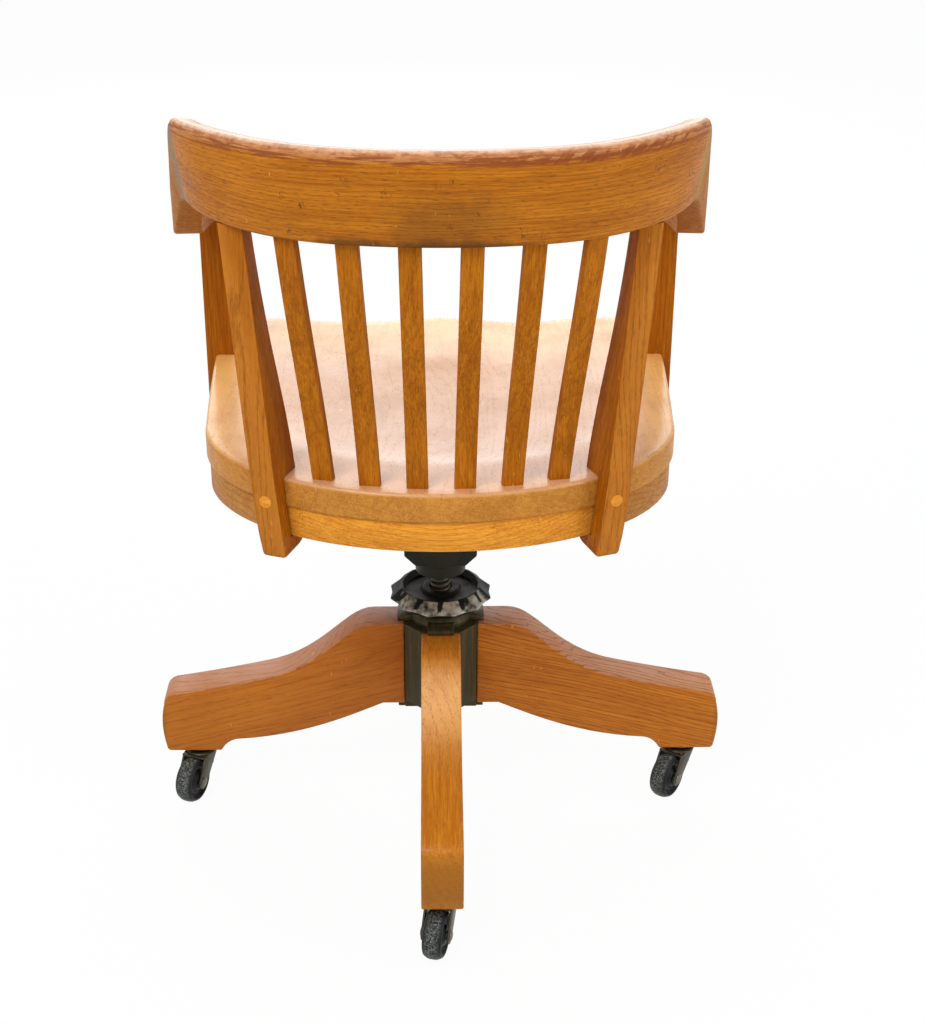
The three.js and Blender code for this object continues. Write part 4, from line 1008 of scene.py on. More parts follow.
def feed(tree, surface, colour, roughness, height, strength, distance):
    tree.links.new(colour, surface.inputs["Base Color"])
    tree.links.new(roughness, surface.inputs["Roughness"])
    bump = put(tree, "ShaderNodeBump", {"Height": height, "Strength": strength, "Distance": distance})
    tree.links.new(bump.outputs[0], surface.inputs["Normal"])


def near(tree, place, centre, reach):
    """One at a point of the chair and nought beyond a reach from it, with a ragged edge."""
    scale = tuple(1 / r for r in reach)
    shifted = stretched(tree, place, scale, tuple(-c / r for c, r in zip(centre, reach)))
    away = put(tree, "ShaderNodeVectorMath", {0: shifted}, operation="LENGTH").outputs["Value"]
    ragged = sum_of(tree, "ADD", away, times(tree, noise(tree, place, *STAIN_EDGE), STAIN_EDGE_SHARE))
    return stepped(tree, ragged, *STAIN_SPAN)


def crest_edge(tree, tone, place, mottle, top_wear, worn, red):
    """The rubbed upper edge of the rail, a painted highlight along its very top, and the streaks of old
    varnish drawn out along its lower border.
    """
    spot = put(tree, "ShaderNodeSeparateXYZ", {0: place}).outputs
    height = spot["Z"]
    grain = read(tree, "grain", "Vector")
    streaking = drawn(tree, grain, *CREST_STREAKING)
    ragged = sum_of(tree, "ADD", height, times(tree, streaking, TOP_WEAR_RAGGED))
    rubbed = mixed(tree, times(tree, mottle, TOP_RED_SHARE), worn, red)
    tone = covered(tree, tone, stepped(tree, ragged, *top_wear), TOP_WEAR_SHARE, rubbed)
    # Painted highlight: a near-white band along the very top of the rail
    pale = mixed(tree, CREST_HIGHLIGHT_TINT_SHARE, worn, CREST_HIGHLIGHT_TINT)
    tone = covered(tree, tone, stepped(tree, height, *CREST_HIGHLIGHT_HEIGHTS), CREST_HIGHLIGHT_SHARE, pale)
    lower, low, high, upper = CREST_STREAKS
    zone = times(tree, stepped(tree, height, lower, low), stepped(tree, height, high, upper, 1.0, 0.0))
    streaks = times(tree, zone, stepped(tree, streaking, *STREAK_SPAN))
    tone = covered(tree, tone, streaks, CREST_STREAK_SHARE, red)
    leaned = put(tree, "ShaderNodeMapping", {"Vector": grain, "Rotation": CREST_HATCH_TURN}).outputs[0]
    hatched = stepped(tree, drawn(tree, leaned, *CREST_HATCHING), *HATCH_SPAN)
    where = times(tree, stepped(tree, spot["X"], *CREST_HATCH, 1.0, 0.0), zone)
    return covered(tree, tone, times(tree, hatched, where), CREST_HATCH_SHARE, red)


def oak(name, shade, shares, roughness=0.42, gloss=0.12, coat=0.0, scale=1.0, mark_share=0.4, nick_share=0.4,
        spots=(), top_wear=None, layers=(), coat_mask=None):
    """Varnished oak. Each kind of piece has its own tone, figure and wear."""
    colours = bpy.context.scene.chair_colours
    colour = getattr(colours, shade)
    dark_share, line_share, pore_share, wear_share = shares
    material, tree, surface, place = blank(name)
    figure = use(tree, "Oak figure", {"Grain": read(tree, "grain", "Vector"), "Scale": scale})
    dirt = use(tree, "Grime", {"Place": place})
    edges = use(tree, "Edge wear", {"Worn": read(tree, "worn"), "Place": place, "Size": 1.0})
    deep = tuple(c * dark_share * tint for c, tint in zip(colour, DEEP_TINT_SHARES))
    light = tuple(min(1, c * tint) for c, tint in zip(colour, LIGHT_TINT_SHARES))
    growth = tuple(c * tint for c, tint in zip(colour, GROWTH_TINT_SHARES))
    pale = tuple(min(1, c * NICK_LIGHT_SHARE + NICK_LIFT) for c in colour)
    tone = mixed(tree, figure["Tone"], deep, light)
    # Most layers are painted light: the posts' lit faces, the arm ends' lamp tints, the board's top light
    # and sheen, the legs' top sheen and the rear leg's highlight; the leg ends are darker end grain
    for mask, cover, share in layers:
        tone = covered(tree, tone, read(tree, mask), share, getattr(colours, cover))
    tone = covered(tree, tone, dirt["Cloud"], CLOUD_SHARE, deep)
    for centre, reach, share in spots:
        tone = covered(tree, tone, near(tree, place, centre, reach), share, colours.stain)
    tone = covered(tree, tone, figure["Pores"], pore_share, colours.stain)
    tone = covered(tree, tone, figure["Lines"], line_share, growth)
    tone = covered(tree, tone, dirt["Marks"], mark_share, colours.stain)
    if top_wear:
        tone = crest_edge(tree, tone, place, edges["Mottle"], top_wear, colours.worn, colours.red)
    bare = mixed(tree, edges["Mottle"], colours.worn, colours.red)
    tone = covered(tree, tone, edges["Wear"], wear_share, bare)
    tone = covered(tree, tone, dirt["Nicks"], nick_share, pale)
    dulled = weighed(tree, (dirt["Cloud"], figure["Pores"], edges["Wear"]), OAK_ROUGHNESS_SHARES)
    rough = sum_of(tree, "ADD", dulled, roughness)
    feed(tree, surface, tone, rough, figure["Height"], BUMP_STRENGTH, BUMP_DISTANCE)
    surface.inputs["Specular IOR Level"].default_value = gloss
    surface.inputs["Coat Roughness"].default_value = COAT_ROUGHNESS
    if coat_mask:
        tree.links.new(times(tree, read(tree, coat_mask), coat), surface.inputs["Coat Weight"])
    else:
        surface.inputs["Coat Weight"].default_value = coat
    return material


def metal(name, shade, worn_shade, values, patch_share=0.4, gloss=0.5, streak_share=0.0, wear_scale=2.0):
    """Iron or steel with a patchy skin, brighter where it is rubbed."""
    colours = bpy.context.scene.chair_colours
    colour = getattr(colours, shade)
    metallic, roughness, wear_share, bump = values
    material, tree, surface, place = blank(name)
    skin = use(tree, "Metal skin", {"Place": place})
    wear = use(tree, "Edge wear", {"Worn": read(tree, "worn"), "Place": place, "Size": wear_scale})["Wear"]
    deep = tuple(c * METAL_DEEP_SHARE for c in colour)
    light = tuple(min(1, c * METAL_LIGHT_SHARE) for c in colour)
    tone = covered(tree, colour, skin["Patch"], patch_share, light)
    tone = covered(tree, tone, skin["Pits"], PIT_SHARE, deep)
    if streak_share:
        rusty = stepped(tree, drawn(tree, place, *RUST_RUNS), *RUST_SPAN)
        tone = covered(tree, tone, rusty, streak_share, colours.rust)
    tone = covered(tree, tone, wear, wear_share, getattr(colours, worn_shade))
    changed = weighed(tree, (skin["Patch"], wear), METAL_ROUGHNESS_SHARES)
    rough = sum_of(tree, "ADD", changed, roughness)
    feed(tree, surface, tone, rough, skin["Height"], bump, BUMP_DISTANCE)
    surface.inputs["Metallic"].default_value = metallic
    surface.inputs["Specular IOR Level"].default_value = gloss
    return material


def rubber(name):
    """Hard black rubber, dusty at the sides, with a tread that is scuffed pale and speckled."""
    colours = bpy.context.scene.chair_colours
    material, tree, surface, place = blank(name)
    skin = use(tree, "Metal skin", {"Place": place})
    dirt = use(tree, "Grime", {"Place": place})
    speckled = stepped(tree, noise(tree, place, *SPECKLES), *SPECKLE_SPAN)
    scuffed = times(tree, read(tree, "tread"), speckled)
    tone = covered(tree, colours.rubber, dirt["Cloud"], DUST_SHARE, colours.tread)
    tone = mixed(tree, scuffed, tone, colours.tread)
    rough = sum_of(tree, "ADD", times(tree, scuffed, TREAD_ROUGHNESS_SHARE), RUBBER_ROUGHNESS)
    feed(tree, surface, tone, rough, skin["Height"], BUMP_STRENGTH, RUBBER_BUMP_DISTANCE)
    surface.inputs["Specular IOR Level"].default_value = RUBBER_GLOSS
    return material


def make_materials():
    """Builds the shared effects once and then every finish."""
    for name, (inputs, work_out) in EFFECTS.items():
        effects[name] = effect(name, inputs, work_out)
    for name, (shade, shares, rest) in OAKS.items():
        materials[name] = oak("Oak " + name, shade, shares, **rest)
    for name, (label, shade, worn_shade, values, rest) in METALS.items():
        materials[name] = metal(label, shade, worn_shade, values, **rest)
    materials["rubber"] = rubber("Wheel rubber")


# Seat pieces

def seat_rim(s, inset=0.0):
    """The outline of the seat, from the middle of its rear edge, moved in by the inset."""
    front = s.seat_half_width + FRONT_FLARE
    reach = -s.seat_front_reach
    left = arc((0, REAR_CENTRE), s.seat_half_width, REAR_RADIUS, QUARTER, math.pi, ROUND_STEPS)
    middle = (REAR_CENTRE + reach) / 2
    waist = ((-s.seat_half_width, REAR_CENTRE), (-front, middle), (-front, CORNER_REACH + reach))
    left += bezier(waist, ROUND_STEPS)[1:]
    corner = ((-front, CORNER_REACH + reach), (-front, reach), (CORNER_REACH - front, reach))
    left += bezier(corner, ROUND_STEPS)[1:]
    left.append(Vector((0, reach)))
    left = evenly(left, RIM_STEPS)
    rim = left + [Vector((-p.x, p.y)) for p in reversed(left[1:-1])]
    moved = []
    for i, point in enumerate(rim):
        along = (rim[(i + 1) % len(rim)] - rim[i - 1]).normalized()
        moved.append(Vector((point.x - along.y * inset, point.y + along.x * inset)))
    return moved


def scoop(x, y):
    """How far the seat is hollowed at a place."""
    bowl = max(0, 1 - (x / SCOOP_HALF_WIDTH) ** 2 - ((y - SCOOP_CENTRE) / SCOOP_HALF_DEPTH) ** 2)
    thigh = math.exp(-(((abs(x) - THIGH_OFFSET) / THIGH_HALF_WIDTH) ** 2))
    ahead = 1 - ease(y, -SCOOP_HALF_DEPTH, SCOOP_HALF_DEPTH / 2)
    depth_share = math.hypot(bowl ** SCOOP_FULLNESS, THIGH_DEPTH_SHARE * thigh * ahead)
    return SCOOP_DEPTH * depth_share / math.hypot(1, THIGH_DEPTH_SHARE)


def seat_board(s):
    top = s.seat_height
    bottom = top - s.board_thickness
    under_edge = BOARD_EDGE / 2
    rings = []
    for i in range(CORNER_STEPS + 1):
        angle = QUARTER * i / CORNER_STEPS
        rim = seat_rim(s, under_edge * (1 - math.sin(angle)))
        rings.append([(p.x, p.y, bottom + under_edge * (1 - math.cos(angle))) for p in rim])
    for i in range(CORNER_STEPS + 1):
        angle = QUARTER * i / CORNER_STEPS
        rim = seat_rim(s, BOARD_EDGE * (1 - math.cos(angle)))
        rings.append([
            (p.x, p.y, top - scoop(p.x, p.y) - BOARD_EDGE * (1 - math.sin(angle))) for p in rim])
    inner = seat_rim(s, BOARD_EDGE)
    for i in range(1, BOARD_RINGS):
        share = 1 - i / BOARD_RINGS
        rings.append([(p.x * share, p.y * share, top - scoop(p.x * share, p.y * share)) for p in inner])
    return grow(fresh(), rings)


def arm_post_edge(s):
    """The outer face of the arm posts."""
    return s.seat_half_width + FRONT_FLARE * 4 / 5 + ARM_POST_PROUD


def arm_post_room(s, gap):
    outer = arm_post_edge(s)
    back = ARM_POST_BACK_INSET - s.seat_front_reach
    low = s.seat_height - s.board_thickness - APRON_HEIGHT - OVERRUN
    return block(
        (outer - ARM_POST_THICKNESS - gap, back - ARM_POST_DEPTH - gap, low),
        (outer + OVERRUN, back + gap, s.seat_height + OVERRUN))


def upper_share(s, co):
    """One on the top of the board, where its painted top light and its coat go, and nought on its edge and
    its underside.
    """
    rise = co.z - s.seat_height + scoop(co.x, co.y)
    return ease(rise, -BOARD_EDGE * 9 / 10, -BOARD_EDGE / 10)


def seat_sheen_share(s, co):
    """One over the middle of the seat's top, where its painted sheen lies, and nought at its sides."""
    across = 1 - ease(abs(co.x), SCOOP_HALF_WIDTH * 7 / 8, s.seat_half_width)
    along = 1 - ease(abs(co.y - REAR_CENTRE), SCOOP_HALF_DEPTH, s.seat_front_reach)
    return across * along * upper_share(s, co)


class CHAIR_OT_seat(bpy.types.Operator):
    """Shapes the scooped board and the four pieces of apron under it"""

    bl_idname = "chair.seat"
    bl_label = "Seat"

    def execute(self, context):
        s = context.scene.chair_sizes
        room = arm_post_room(s, SEAM)
        other = mirror(room)
        board = carved(seat_board(s), room.copy(), other.copy())
        # Masks for the painted top light of the board and the painted sheen over its middle
        masks = {
            "upper": lambda vert: upper_share(s, vert.co),
            "sat_on": lambda vert: seat_sheen_share(s, vert.co),
        }
        grain = board_grain((0, 1, 0), BOARD_SEED)
        finish_piece("seat_board", board, "seat", materials["board"], grain, masks)
        top = s.seat_height - s.board_thickness - SEAM
        low = s.seat_height - s.board_thickness - APRON_HEIGHT
        outer = seat_rim(s, APRON_INSET)
        inner = seat_rim(s, APRON_INSET + APRON_WIDTH)
        ring = fresh()
        grow(ring, [
            [(a.x, a.y, low), (a.x, a.y, top), (b.x, b.y, top), (b.x, b.y, low)]
            for a, b in zip(outer, inner)], closed=True)
        rear_joint = s.seat_half_width * BACK_POST_WIDTH_SHARE
        front_joint = APRON_WIDTH + APRON_INSET - s.seat_front_reach
        cuts = {
            "apron_rear": [((rear_joint - SEAM, 0, 0), (1, 0, 0)), ((SEAM - rear_joint, 0, 0), (-1, 0, 0)),
                           ((0, 0, 0), (0, -1, 0))],
            "apron_front": [((0, front_joint, 0), (0, 1, 0))],
            "apron_left": [((0, 0, 0), (-1, 0, 0)), ((0, front_joint + SEAM, 0), (0, -1, 0))],
            "apron_right": [((0, 0, 0), (1, 0, 0)), ((0, front_joint + SEAM, 0), (0, -1, 0))],
        }
        for seed, (node, planes) in enumerate(cuts.items(), APRON_SEED):
            piece = ring.copy()
            for spot, away in planes:
                slice_off(piece, spot, away)
            if node in ("apron_left", "apron_right"):
                piece = carved(piece, block(
                    (-rear_joint, 0, low - OVERRUN), (rear_joint, s.seat_front_reach, top + OVERRUN)))
                piece = carved(piece, (room if node == "apron_left" else other).copy())
            soften(piece, s.wood_edge * 2 / 3, 2)
            across = node in ("apron_rear", "apron_front")
            direction = (1, 0, 0) if across else (0, 1, 0)
            finish = "apron" if node == "apron_rear" else "side apron"
            finish_piece(node, piece, "seat", materials[finish], board_grain(direction, seed))
        ring.free()
        room.free()
        other.free()
        return {"FINISHED"}


def slice_off(bm, spot, away):
    """Saws off what lies beyond a plane and closes the cut."""
    geometry = bm.verts[:] + bm.edges[:] + bm.faces[:]
    made = bmesh.ops.bisect_plane(
        bm, geom=geometry, plane_co=spot, plane_no=away, clear_outer=True, dist=MERGE_REACH)
    edges = [e for e in made["geom_cut"] if isinstance(e, bmesh.types.BMEdge) and len(e.link_faces) == 1]
    bmesh.ops.edgeloop_fill(bm, edges=edges)


# Back pieces

def crest_end_radius(s):
    return s.seat_half_width - CREST_END_INSET


def crest_centres(s):
    """Where the rail's middle curve and its end curves have their centres."""
    middle = CREST_REACH - CREST_MIDDLE_RADIUS
    gap = CREST_MIDDLE_RADIUS - crest_end_radius(s)
    return middle, gap * math.sin(CREST_MIDDLE_SPREAD), middle + gap * math.cos(CREST_MIDDLE_SPREAD)


def crest_point(s, spread, offset):
    """A point of the rail's plan, at an angle from the middle and an offset in from its back."""
    middle, end_x, end_y = crest_centres(s)
    turn = abs(spread)
    side = 1 if spread >= 0 else -1
    if turn > CREST_MIDDLE_SPREAD:
        radius = crest_end_radius(s) - offset
        return Vector((side * (end_x + radius * math.sin(turn)), end_y + radius * math.cos(turn)))
    radius = CREST_MIDDLE_RADIUS - offset
    return Vector((side * radius * math.sin(turn), middle + radius * math.cos(turn)))


def crest_slope(spread):
    """How the rail leans back, and rakes back towards its joint with the arm."""
    turn = abs(spread)
    side = 1 if spread >= 0 else -1
    outward = Vector((math.sin(spread), math.cos(spread)))
    inward = Vector((-side * math.cos(turn), math.sin(turn)))
    lean = CREST_LEAN + (JOINT_LEAN - CREST_LEAN) * turn / CREST_JOINT_SPREAD
    rake = JOINT_RAKE * ease(turn, CREST_JOINT_SPREAD / 2, CREST_JOINT_SPREAD)
    return outward * lean + inward * rake


def rail_ring(crest_bottom, inner, outer, under, top, lean):
    """One section of the rail, tilted back with its lean."""
    across = outer - inner
    width = across.length
    across.normalize()
    middle = (inner + outer) / 2
    height = top - under
    tilt = lean.dot(across)
    top_radius = min(RAIL_TOP_RADIUS, width / 3)
    under_radius = min(RAIL_UNDER_RADIUS, width / 4)
    ring = []
    for u, v in rounded(width / 2, height / 2, (under_radius, top_radius, top_radius, under_radius)):
        rise = under - crest_bottom + height / 2 + v
        ring.append(Vector((
            middle.x + across.x * u + lean.x * rise,
            middle.y + across.y * u + lean.y * rise,
            crest_bottom + rise + tilt * (u - width / 2))))
    return ring


def crest_rail(s, gap=0.0):
    bottom = s.seat_height + s.crest_rise
    limit = CREST_JOINT_SPREAD - SEAM / crest_end_radius(s)
    rings = []
    for i in range(CREST_STATIONS + 1):
        spread = limit * (2 * i / CREST_STATIONS - 1)
        rings.append(rail_ring(
            bottom, crest_point(s, spread, CREST_THICKNESS + gap), crest_point(s, spread, -gap),
            bottom - gap, bottom + s.crest_height + gap, crest_slope(spread)))
    return grow(fresh(), rings, rubbed=rubbed_corners(1, 2))


def crest_grain(s):
    """Along the bent rail, then across it, then up it."""
    middle, end_x, end_y = crest_centres(s)

    def place(co):
        side = 1 if co.x >= 0 else -1
        turn = math.atan2(abs(co.x), co.y - middle)
        if turn > CREST_MIDDLE_SPREAD:
            turn = math.atan2(abs(co.x) - end_x, co.y - end_y)
        run = CREST_MIDDLE_RADIUS * min(turn, CREST_MIDDLE_SPREAD)
        run += crest_end_radius(s) * max(0, turn - CREST_MIDDLE_SPREAD)
        depth = math.hypot(co.x, co.y - middle)
        return Vector((side * run + CREST_GRAIN_START, co.z, depth * CREST_GRAIN_DEPTH_SHARE))
    return place


def slat(s, number):
    place = number - (SLAT_COUNT - 1) / 2
    foot_x = place * SLAT_FOOT_PITCH_SHARE * s.seat_half_width
    head_x = place * SLAT_HEAD_PITCH_SHARE * s.seat_half_width
    rim_y = REAR_CENTRE + REAR_RADIUS * math.sqrt(1 - (foot_x / s.seat_half_width) ** 2)
    end_x = crest_centres(s)[1]
    side = 1 if head_x >= 0 else -1
    radius = crest_end_radius(s)
    if abs(head_x) < end_x + radius * math.sin(CREST_MIDDLE_SPREAD):
        spread = math.asin(head_x / CREST_MIDDLE_RADIUS)
    else:
        spread = math.asin((head_x - side * end_x) / radius)
    head = crest_point(s, spread, CREST_THICKNESS / 2)
    foot_z = s.seat_height - SLAT_TENON
    head_z = s.seat_height + s.crest_rise + SLAT_TENON
    corner = SLAT_THICKNESS / 6
    rings = []
    for i in range(SLAT_STATIONS + 1):
        z = foot_z + (head_z - foot_z) * i / SLAT_STATIONS
        share = (z - s.seat_height) / s.crest_rise
        bow = SLAT_BOW * math.sin(TURN * min(1, max(0, share)))
        x = foot_x + (head_x - foot_x) * share
        y = rim_y - SLAT_FOOT_INSET + (head.y - rim_y + SLAT_FOOT_INSET) * share - bow
        turn = foot_x * SLAT_TURN_PER_OFFSET + (spread - foot_x * SLAT_TURN_PER_OFFSET) * share
        wide = Vector((math.cos(turn), -math.sin(turn), 0))
        deep = Vector((math.sin(turn), math.cos(turn), 0))
        section = rounded(SLAT_WIDTH / 2, SLAT_THICKNESS / 2, (corner,) * 4)
        rings.append([Vector((x, y, z)) + wide * u + deep * v for u, v in section])
    return grow(fresh(), rings, rubbed=rubbed_corners(0, 1, 2, 3))


def back_post_place(s):
    """Turns a depth, a height and a step aside in the left back post into a point of the chair."""
    across = Vector((math.cos(BACK_POST_TURN), -math.sin(BACK_POST_TURN), 0))
    inward = Vector((-math.sin(BACK_POST_TURN), -math.cos(BACK_POST_TURN), 0))
    offset = s.seat_half_width * BACK_POST_WIDTH_SHARE
    rim_y = REAR_CENTRE + REAR_RADIUS * math.sqrt(1 - BACK_POST_WIDTH_SHARE ** 2)

    def place(point, aside):
        rise = point[1] - s.seat_height
        return Vector((offset + BACK_POST_LEAN * rise, rim_y, point[1])) + inward * point[0] + across * aside
    return place


def back_post(s):
    back = -BACK_POST_FOOT_DEPTH / 2
    foot = BACK_POST_FOOT_DEPTH / 2
    head_back = back + BACK_POST_HEAD_INSET
    head = head_back + BACK_POST_HEAD_DEPTH
    bottom = s.seat_height - s.board_thickness - APRON_HEIGHT - BACK_POST_FOOT_DROP
    top = s.seat_height + s.crest_rise - SEAM
    r = BACK_POST_FOOT_RADIUS
    outline = [Vector((foot, bottom + r))]
    outline += bezier((
        (foot, s.seat_height), (foot, s.seat_height + s.crest_rise / 3),
        (head, s.seat_height + s.crest_rise / 2), (head, top)), CURVE_STEPS)
    outline += [Vector((head_back, top)), Vector((back, s.seat_height))]
    outline += bezier(((back, bottom + r / 2), (back, bottom), (back + r / 2, bottom)), CORNER_STEPS)
    outline += bezier(((foot - r, bottom), (foot, bottom), (foot, bottom + r)), CORNER_STEPS)[:-1]
    post = plate(outline, back_post_place(s), -BACK_POST_WIDTH / 2, BACK_POST_WIDTH / 2)
    at_foot = [e for e in post.edges if e.calc_face_angle(0) > SOFTEN_ANGLE
               and all(vert.co.z < bottom + r for vert in e.verts)]
    bmesh.ops.bevel(
        post, geom=at_foot, offset=BACK_POST_FOOT_ROUNDING, segments=4, profile=0.5, affect="EDGES",
        material=-1, clamp_overlap=False)
    soften(post, s.wood_edge)
    seat_bottom = s.seat_height - s.board_thickness - APRON_HEIGHT - SEAM
    rim = seat_rim(s, -SEAM)
    seat_room = grow(fresh(), [[(p.x, p.y, z) for p in rim] for z in (seat_bottom, s.seat_height + SEAM)])
    return carved(post, seat_room, crest_rail(s, SEAM))


def plug(s):
    place = back_post_place(s)
    height = s.seat_height - PLUG_DROP
    start = place((-PLUG_PROUD - BACK_POST_FOOT_DEPTH / 2, height), 0)
    end = place((PLUG_LENGTH - BACK_POST_FOOT_DEPTH / 2, height), 0)
    length = (end - start).length
    turn = (end - start).to_track_quat("Z", "Y").to_matrix().to_4x4()
    matrix = Matrix.Translation(start) @ turn
    profile = [(0, 0), (PLUG_RADIUS * 4 / 5, PLUG_JOINT / 4), (PLUG_RADIUS - PLUG_JOINT, PLUG_JOINT / 2),
               (PLUG_RADIUS, PLUG_JOINT * 2), (PLUG_RADIUS, length), (0, length)]
    return turned(profile, matrix, ROUND_STEPS // 2)


class CHAIR_OT_back(bpy.types.Operator):
    """Bends the crest rail and sets the slats, the back posts and their plugs"""

    bl_idname = "chair.back"
    bl_label = "Back"

    def execute(self, context):
        s = context.scene.chair_sizes
        finish_piece("crest_rail", crest_rail(s), "seat", materials["crest"], crest_grain(s))
        for number in range(SLAT_COUNT):
            finish_piece(f"slat_{number + 1}", slat(s, number), "seat", materials["slats"],
                         board_grain((0, 0, 1), SLAT_SEED + number))
        # Rear-facing faces of the back posts, where paler oak is painted as the light falling on them
        masks = {"face": lambda vert: ease(vert.normal.y, *LIT_FACE_SPAN)}
        finish_pair("back_post", back_post(s), ("posts", "posts"), (0, 0, 1), POST_SEED, masks)
        finish_pair("post_plug", plug(s), ("plug", "plug"), PLUG_GRAIN, PLUG_SEED)
        return {"FINISHED"}


def arm(s):
    joint_outer = crest_point(s, CREST_JOINT_SPREAD, 0)
    joint_inner = crest_point(s, CREST_JOINT_SPREAD, CREST_THICKNESS)
    forward = Vector((math.cos(CREST_JOINT_SPREAD), -math.sin(CREST_JOINT_SPREAD)))
    pad_start = s.seat_front_reach - ARM_PAD_START_INSET
    length = joint_outer.y + pad_start
    edge = arm_post_edge(s) + ARM_OVERHANG
    pad_outer = Vector((edge, -pad_start))
    pad_inner = Vector((edge - ARM_PAD_WIDTH, -pad_start))
    rise = Vector((0, length * ARM_SWEEP_SHARES[1]))
    run = forward * length * ARM_SWEEP_SHARES[0]
    outer = bezier((joint_outer, joint_outer + run, pad_outer + rise, pad_outer), ARM_STATIONS)
    inner = bezier((
        joint_inner, joint_inner + run + Vector((CREST_THICKNESS / 3, 0)),
        pad_inner + rise + Vector((CREST_THICKNESS, 0)), pad_inner), ARM_STATIONS)
    round_start = s.seat_front_reach - ARM_PAD_ROUND_INSET
    for i in range(CURVE_STEPS):
        angle = QUARTER * i / CURVE_STEPS
        half = ARM_PAD_WIDTH / 2 * math.cos(angle)
        y = -round_start - ARM_PAD_WIDTH / 2 * math.sin(angle)
        inner.append(Vector((edge - ARM_PAD_WIDTH / 2 - half, y)))
        outer.append(Vector((edge - ARM_PAD_WIDTH / 2 + half, y)))
    crest_bottom = s.seat_height + s.crest_rise
    arm_top = s.seat_height + s.arm_height
    arm_under = arm_top - ARM_THICKNESS
    rings = []
    for a, b in zip(inner, outer):
        y = (a.y + b.y) / 2
        high = ease(y, ARM_TOP_DROP_END, ARM_TOP_DROP_START)
        top = arm_top + (crest_bottom + s.crest_height - arm_top) * high
        under = arm_under + (crest_bottom - arm_under) * ease(y, ARM_UNDER_DROP_END, ARM_UNDER_DROP_START)
        rings.append(rail_ring(crest_bottom, a, b, under, top, crest_slope(CREST_JOINT_SPREAD) * high))
    return grow(fresh(), rings, rubbed=rubbed_corners(0, 1, 2, 3))


def arm_post(s):
    outer = arm_post_edge(s)
    inner = outer - ARM_POST_THICKNESS
    top = s.seat_height + s.arm_height - ARM_THICKNESS - SEAM
    bottom = s.seat_height - s.board_thickness - APRON_HEIGHT
    back = ARM_POST_BACK_INSET - s.seat_front_reach
    outline = [Vector((inner, bottom)), Vector((outer, bottom))]
    outline += bezier((
        (outer, top - ARM_POST_SHOULDER * 3 / 2), (outer, top - ARM_POST_SHOULDER / 2),
        (outer - ARM_POST_SHOULDER, top)), CURVE_STEPS)
    outline.append(Vector((inner, top)))
    post = plate(outline, facing, back - ARM_POST_DEPTH, back)
    return soften(post, s.wood_edge)


class CHAIR_OT_arms(bpy.types.Operator):
    """Sweeps the arms from the crest rail and stands them on their posts"""

    bl_idname = "chair.arms"
    bl_label = "Arms"

    def execute(self, context):
        s = context.scene.chair_sizes
        # The joint mask lays the painted lamp tints on the arm ends by the crest
        masks = {"joint": lambda vert: ease(vert.co.y, *ARM_END_LIGHT_SPAN)}
        finish_pair("arm", arm(s), ("left arm", "right arm"), (0, 1, 0), ARM_SEED, masks)
        finish_pair("arm_post", arm_post(s), ("posts", "posts"), (0, 0, 1), ARM_POST_SEED, masks)
        return {"FINISHED"}


# Base pieces

def levels(s):
    """The heights of the fittings, worked down from the seat."""
    cup_bottom = s.seat_height - CUP_DROP
    nut_top = cup_bottom - NUT_GAP
    nut_bottom = nut_top - NUT_RIM_HEIGHT
    cap_top = nut_bottom - SEAM
    cap_bottom = cap_top - HUB_CAP_HEIGHT
    hub_top = cap_bottom - SEAM
    hub_under = hub_top - LEG_HUB_DEPTH
    return {
        "cup bottom": cup_bottom, "nut top": nut_top, "nut bottom": nut_bottom, "cap top": cap_top,
        "cap bottom": cap_bottom, "hub top": hub_top, "hub under": hub_under,
        "hub bottom": hub_under - SEAM - HUB_BOTTOM_PLATE, "web top": s.seat_height - HEAD_WEB_DROP,
        "pin": s.seat_height - PIN_DROP,
        "spider under": s.seat_height - s.board_thickness - SEAM - SPIDER_THICKNESS,
    }


def leg_outline(s):
    z = levels(s)
    inner = HUB_HALF_WIDTH + SEAM
    end = s.leg_reach - LEG_END_BULGE
    pad = s.leg_reach - LEG_PAD_LENGTH
    drop = z["hub top"] - LEG_END_TOP
    rise = z["hub under"] - LEG_END_UNDER
    run = end - inner
    top_at = [(inner + run * x, LEG_END_TOP + drop * y) for x, y in LEG_TOP_SHARES]
    under_at = [(inner + run * x, z["hub under"] - rise * y) for x, y in LEG_UNDER_SHARES]
    step = LEG_END_UNDER + LEG_PAD_STEP
    r = LEG_END_RADIUS
    outline = [Vector((inner, z["hub under"])), Vector(under_at[0])]
    carry_on(outline, under_at[1], under_at[2], (pad - LEG_PAD_STEP * 3 / 2, step))
    carry_on(outline, (pad - LEG_PAD_STEP / 2, step), (pad, LEG_END_UNDER))
    outline.append(Vector((end - r / 2, LEG_END_UNDER)))
    carry_on(outline, (end, LEG_END_UNDER), (end, LEG_END_UNDER + r / 2), steps=CORNER_STEPS)
    bulge = (s.leg_reach + LEG_END_BULGE, (LEG_END_UNDER + LEG_END_TOP) / 2)
    carry_on(outline, bulge, (end, LEG_END_TOP - r))
    carry_on(outline, (end, LEG_END_TOP), (end - r, LEG_END_TOP + r / 3), steps=CORNER_STEPS)
    carry_on(outline, top_at[0], top_at[1])
    carry_on(outline, top_at[2], top_at[3], (LEG_HUB_FLAT, z["hub top"]))
    outline.append(Vector((inner, z["hub top"])))
    return outline


def socket_spot(s, side):
    """Where a caster's stem stands."""
    reach = s.leg_reach - CASTER_INSET
    return Vector((reach * math.cos(LEG_ANGLES[side]), reach * math.sin(LEG_ANGLES[side]), 0))


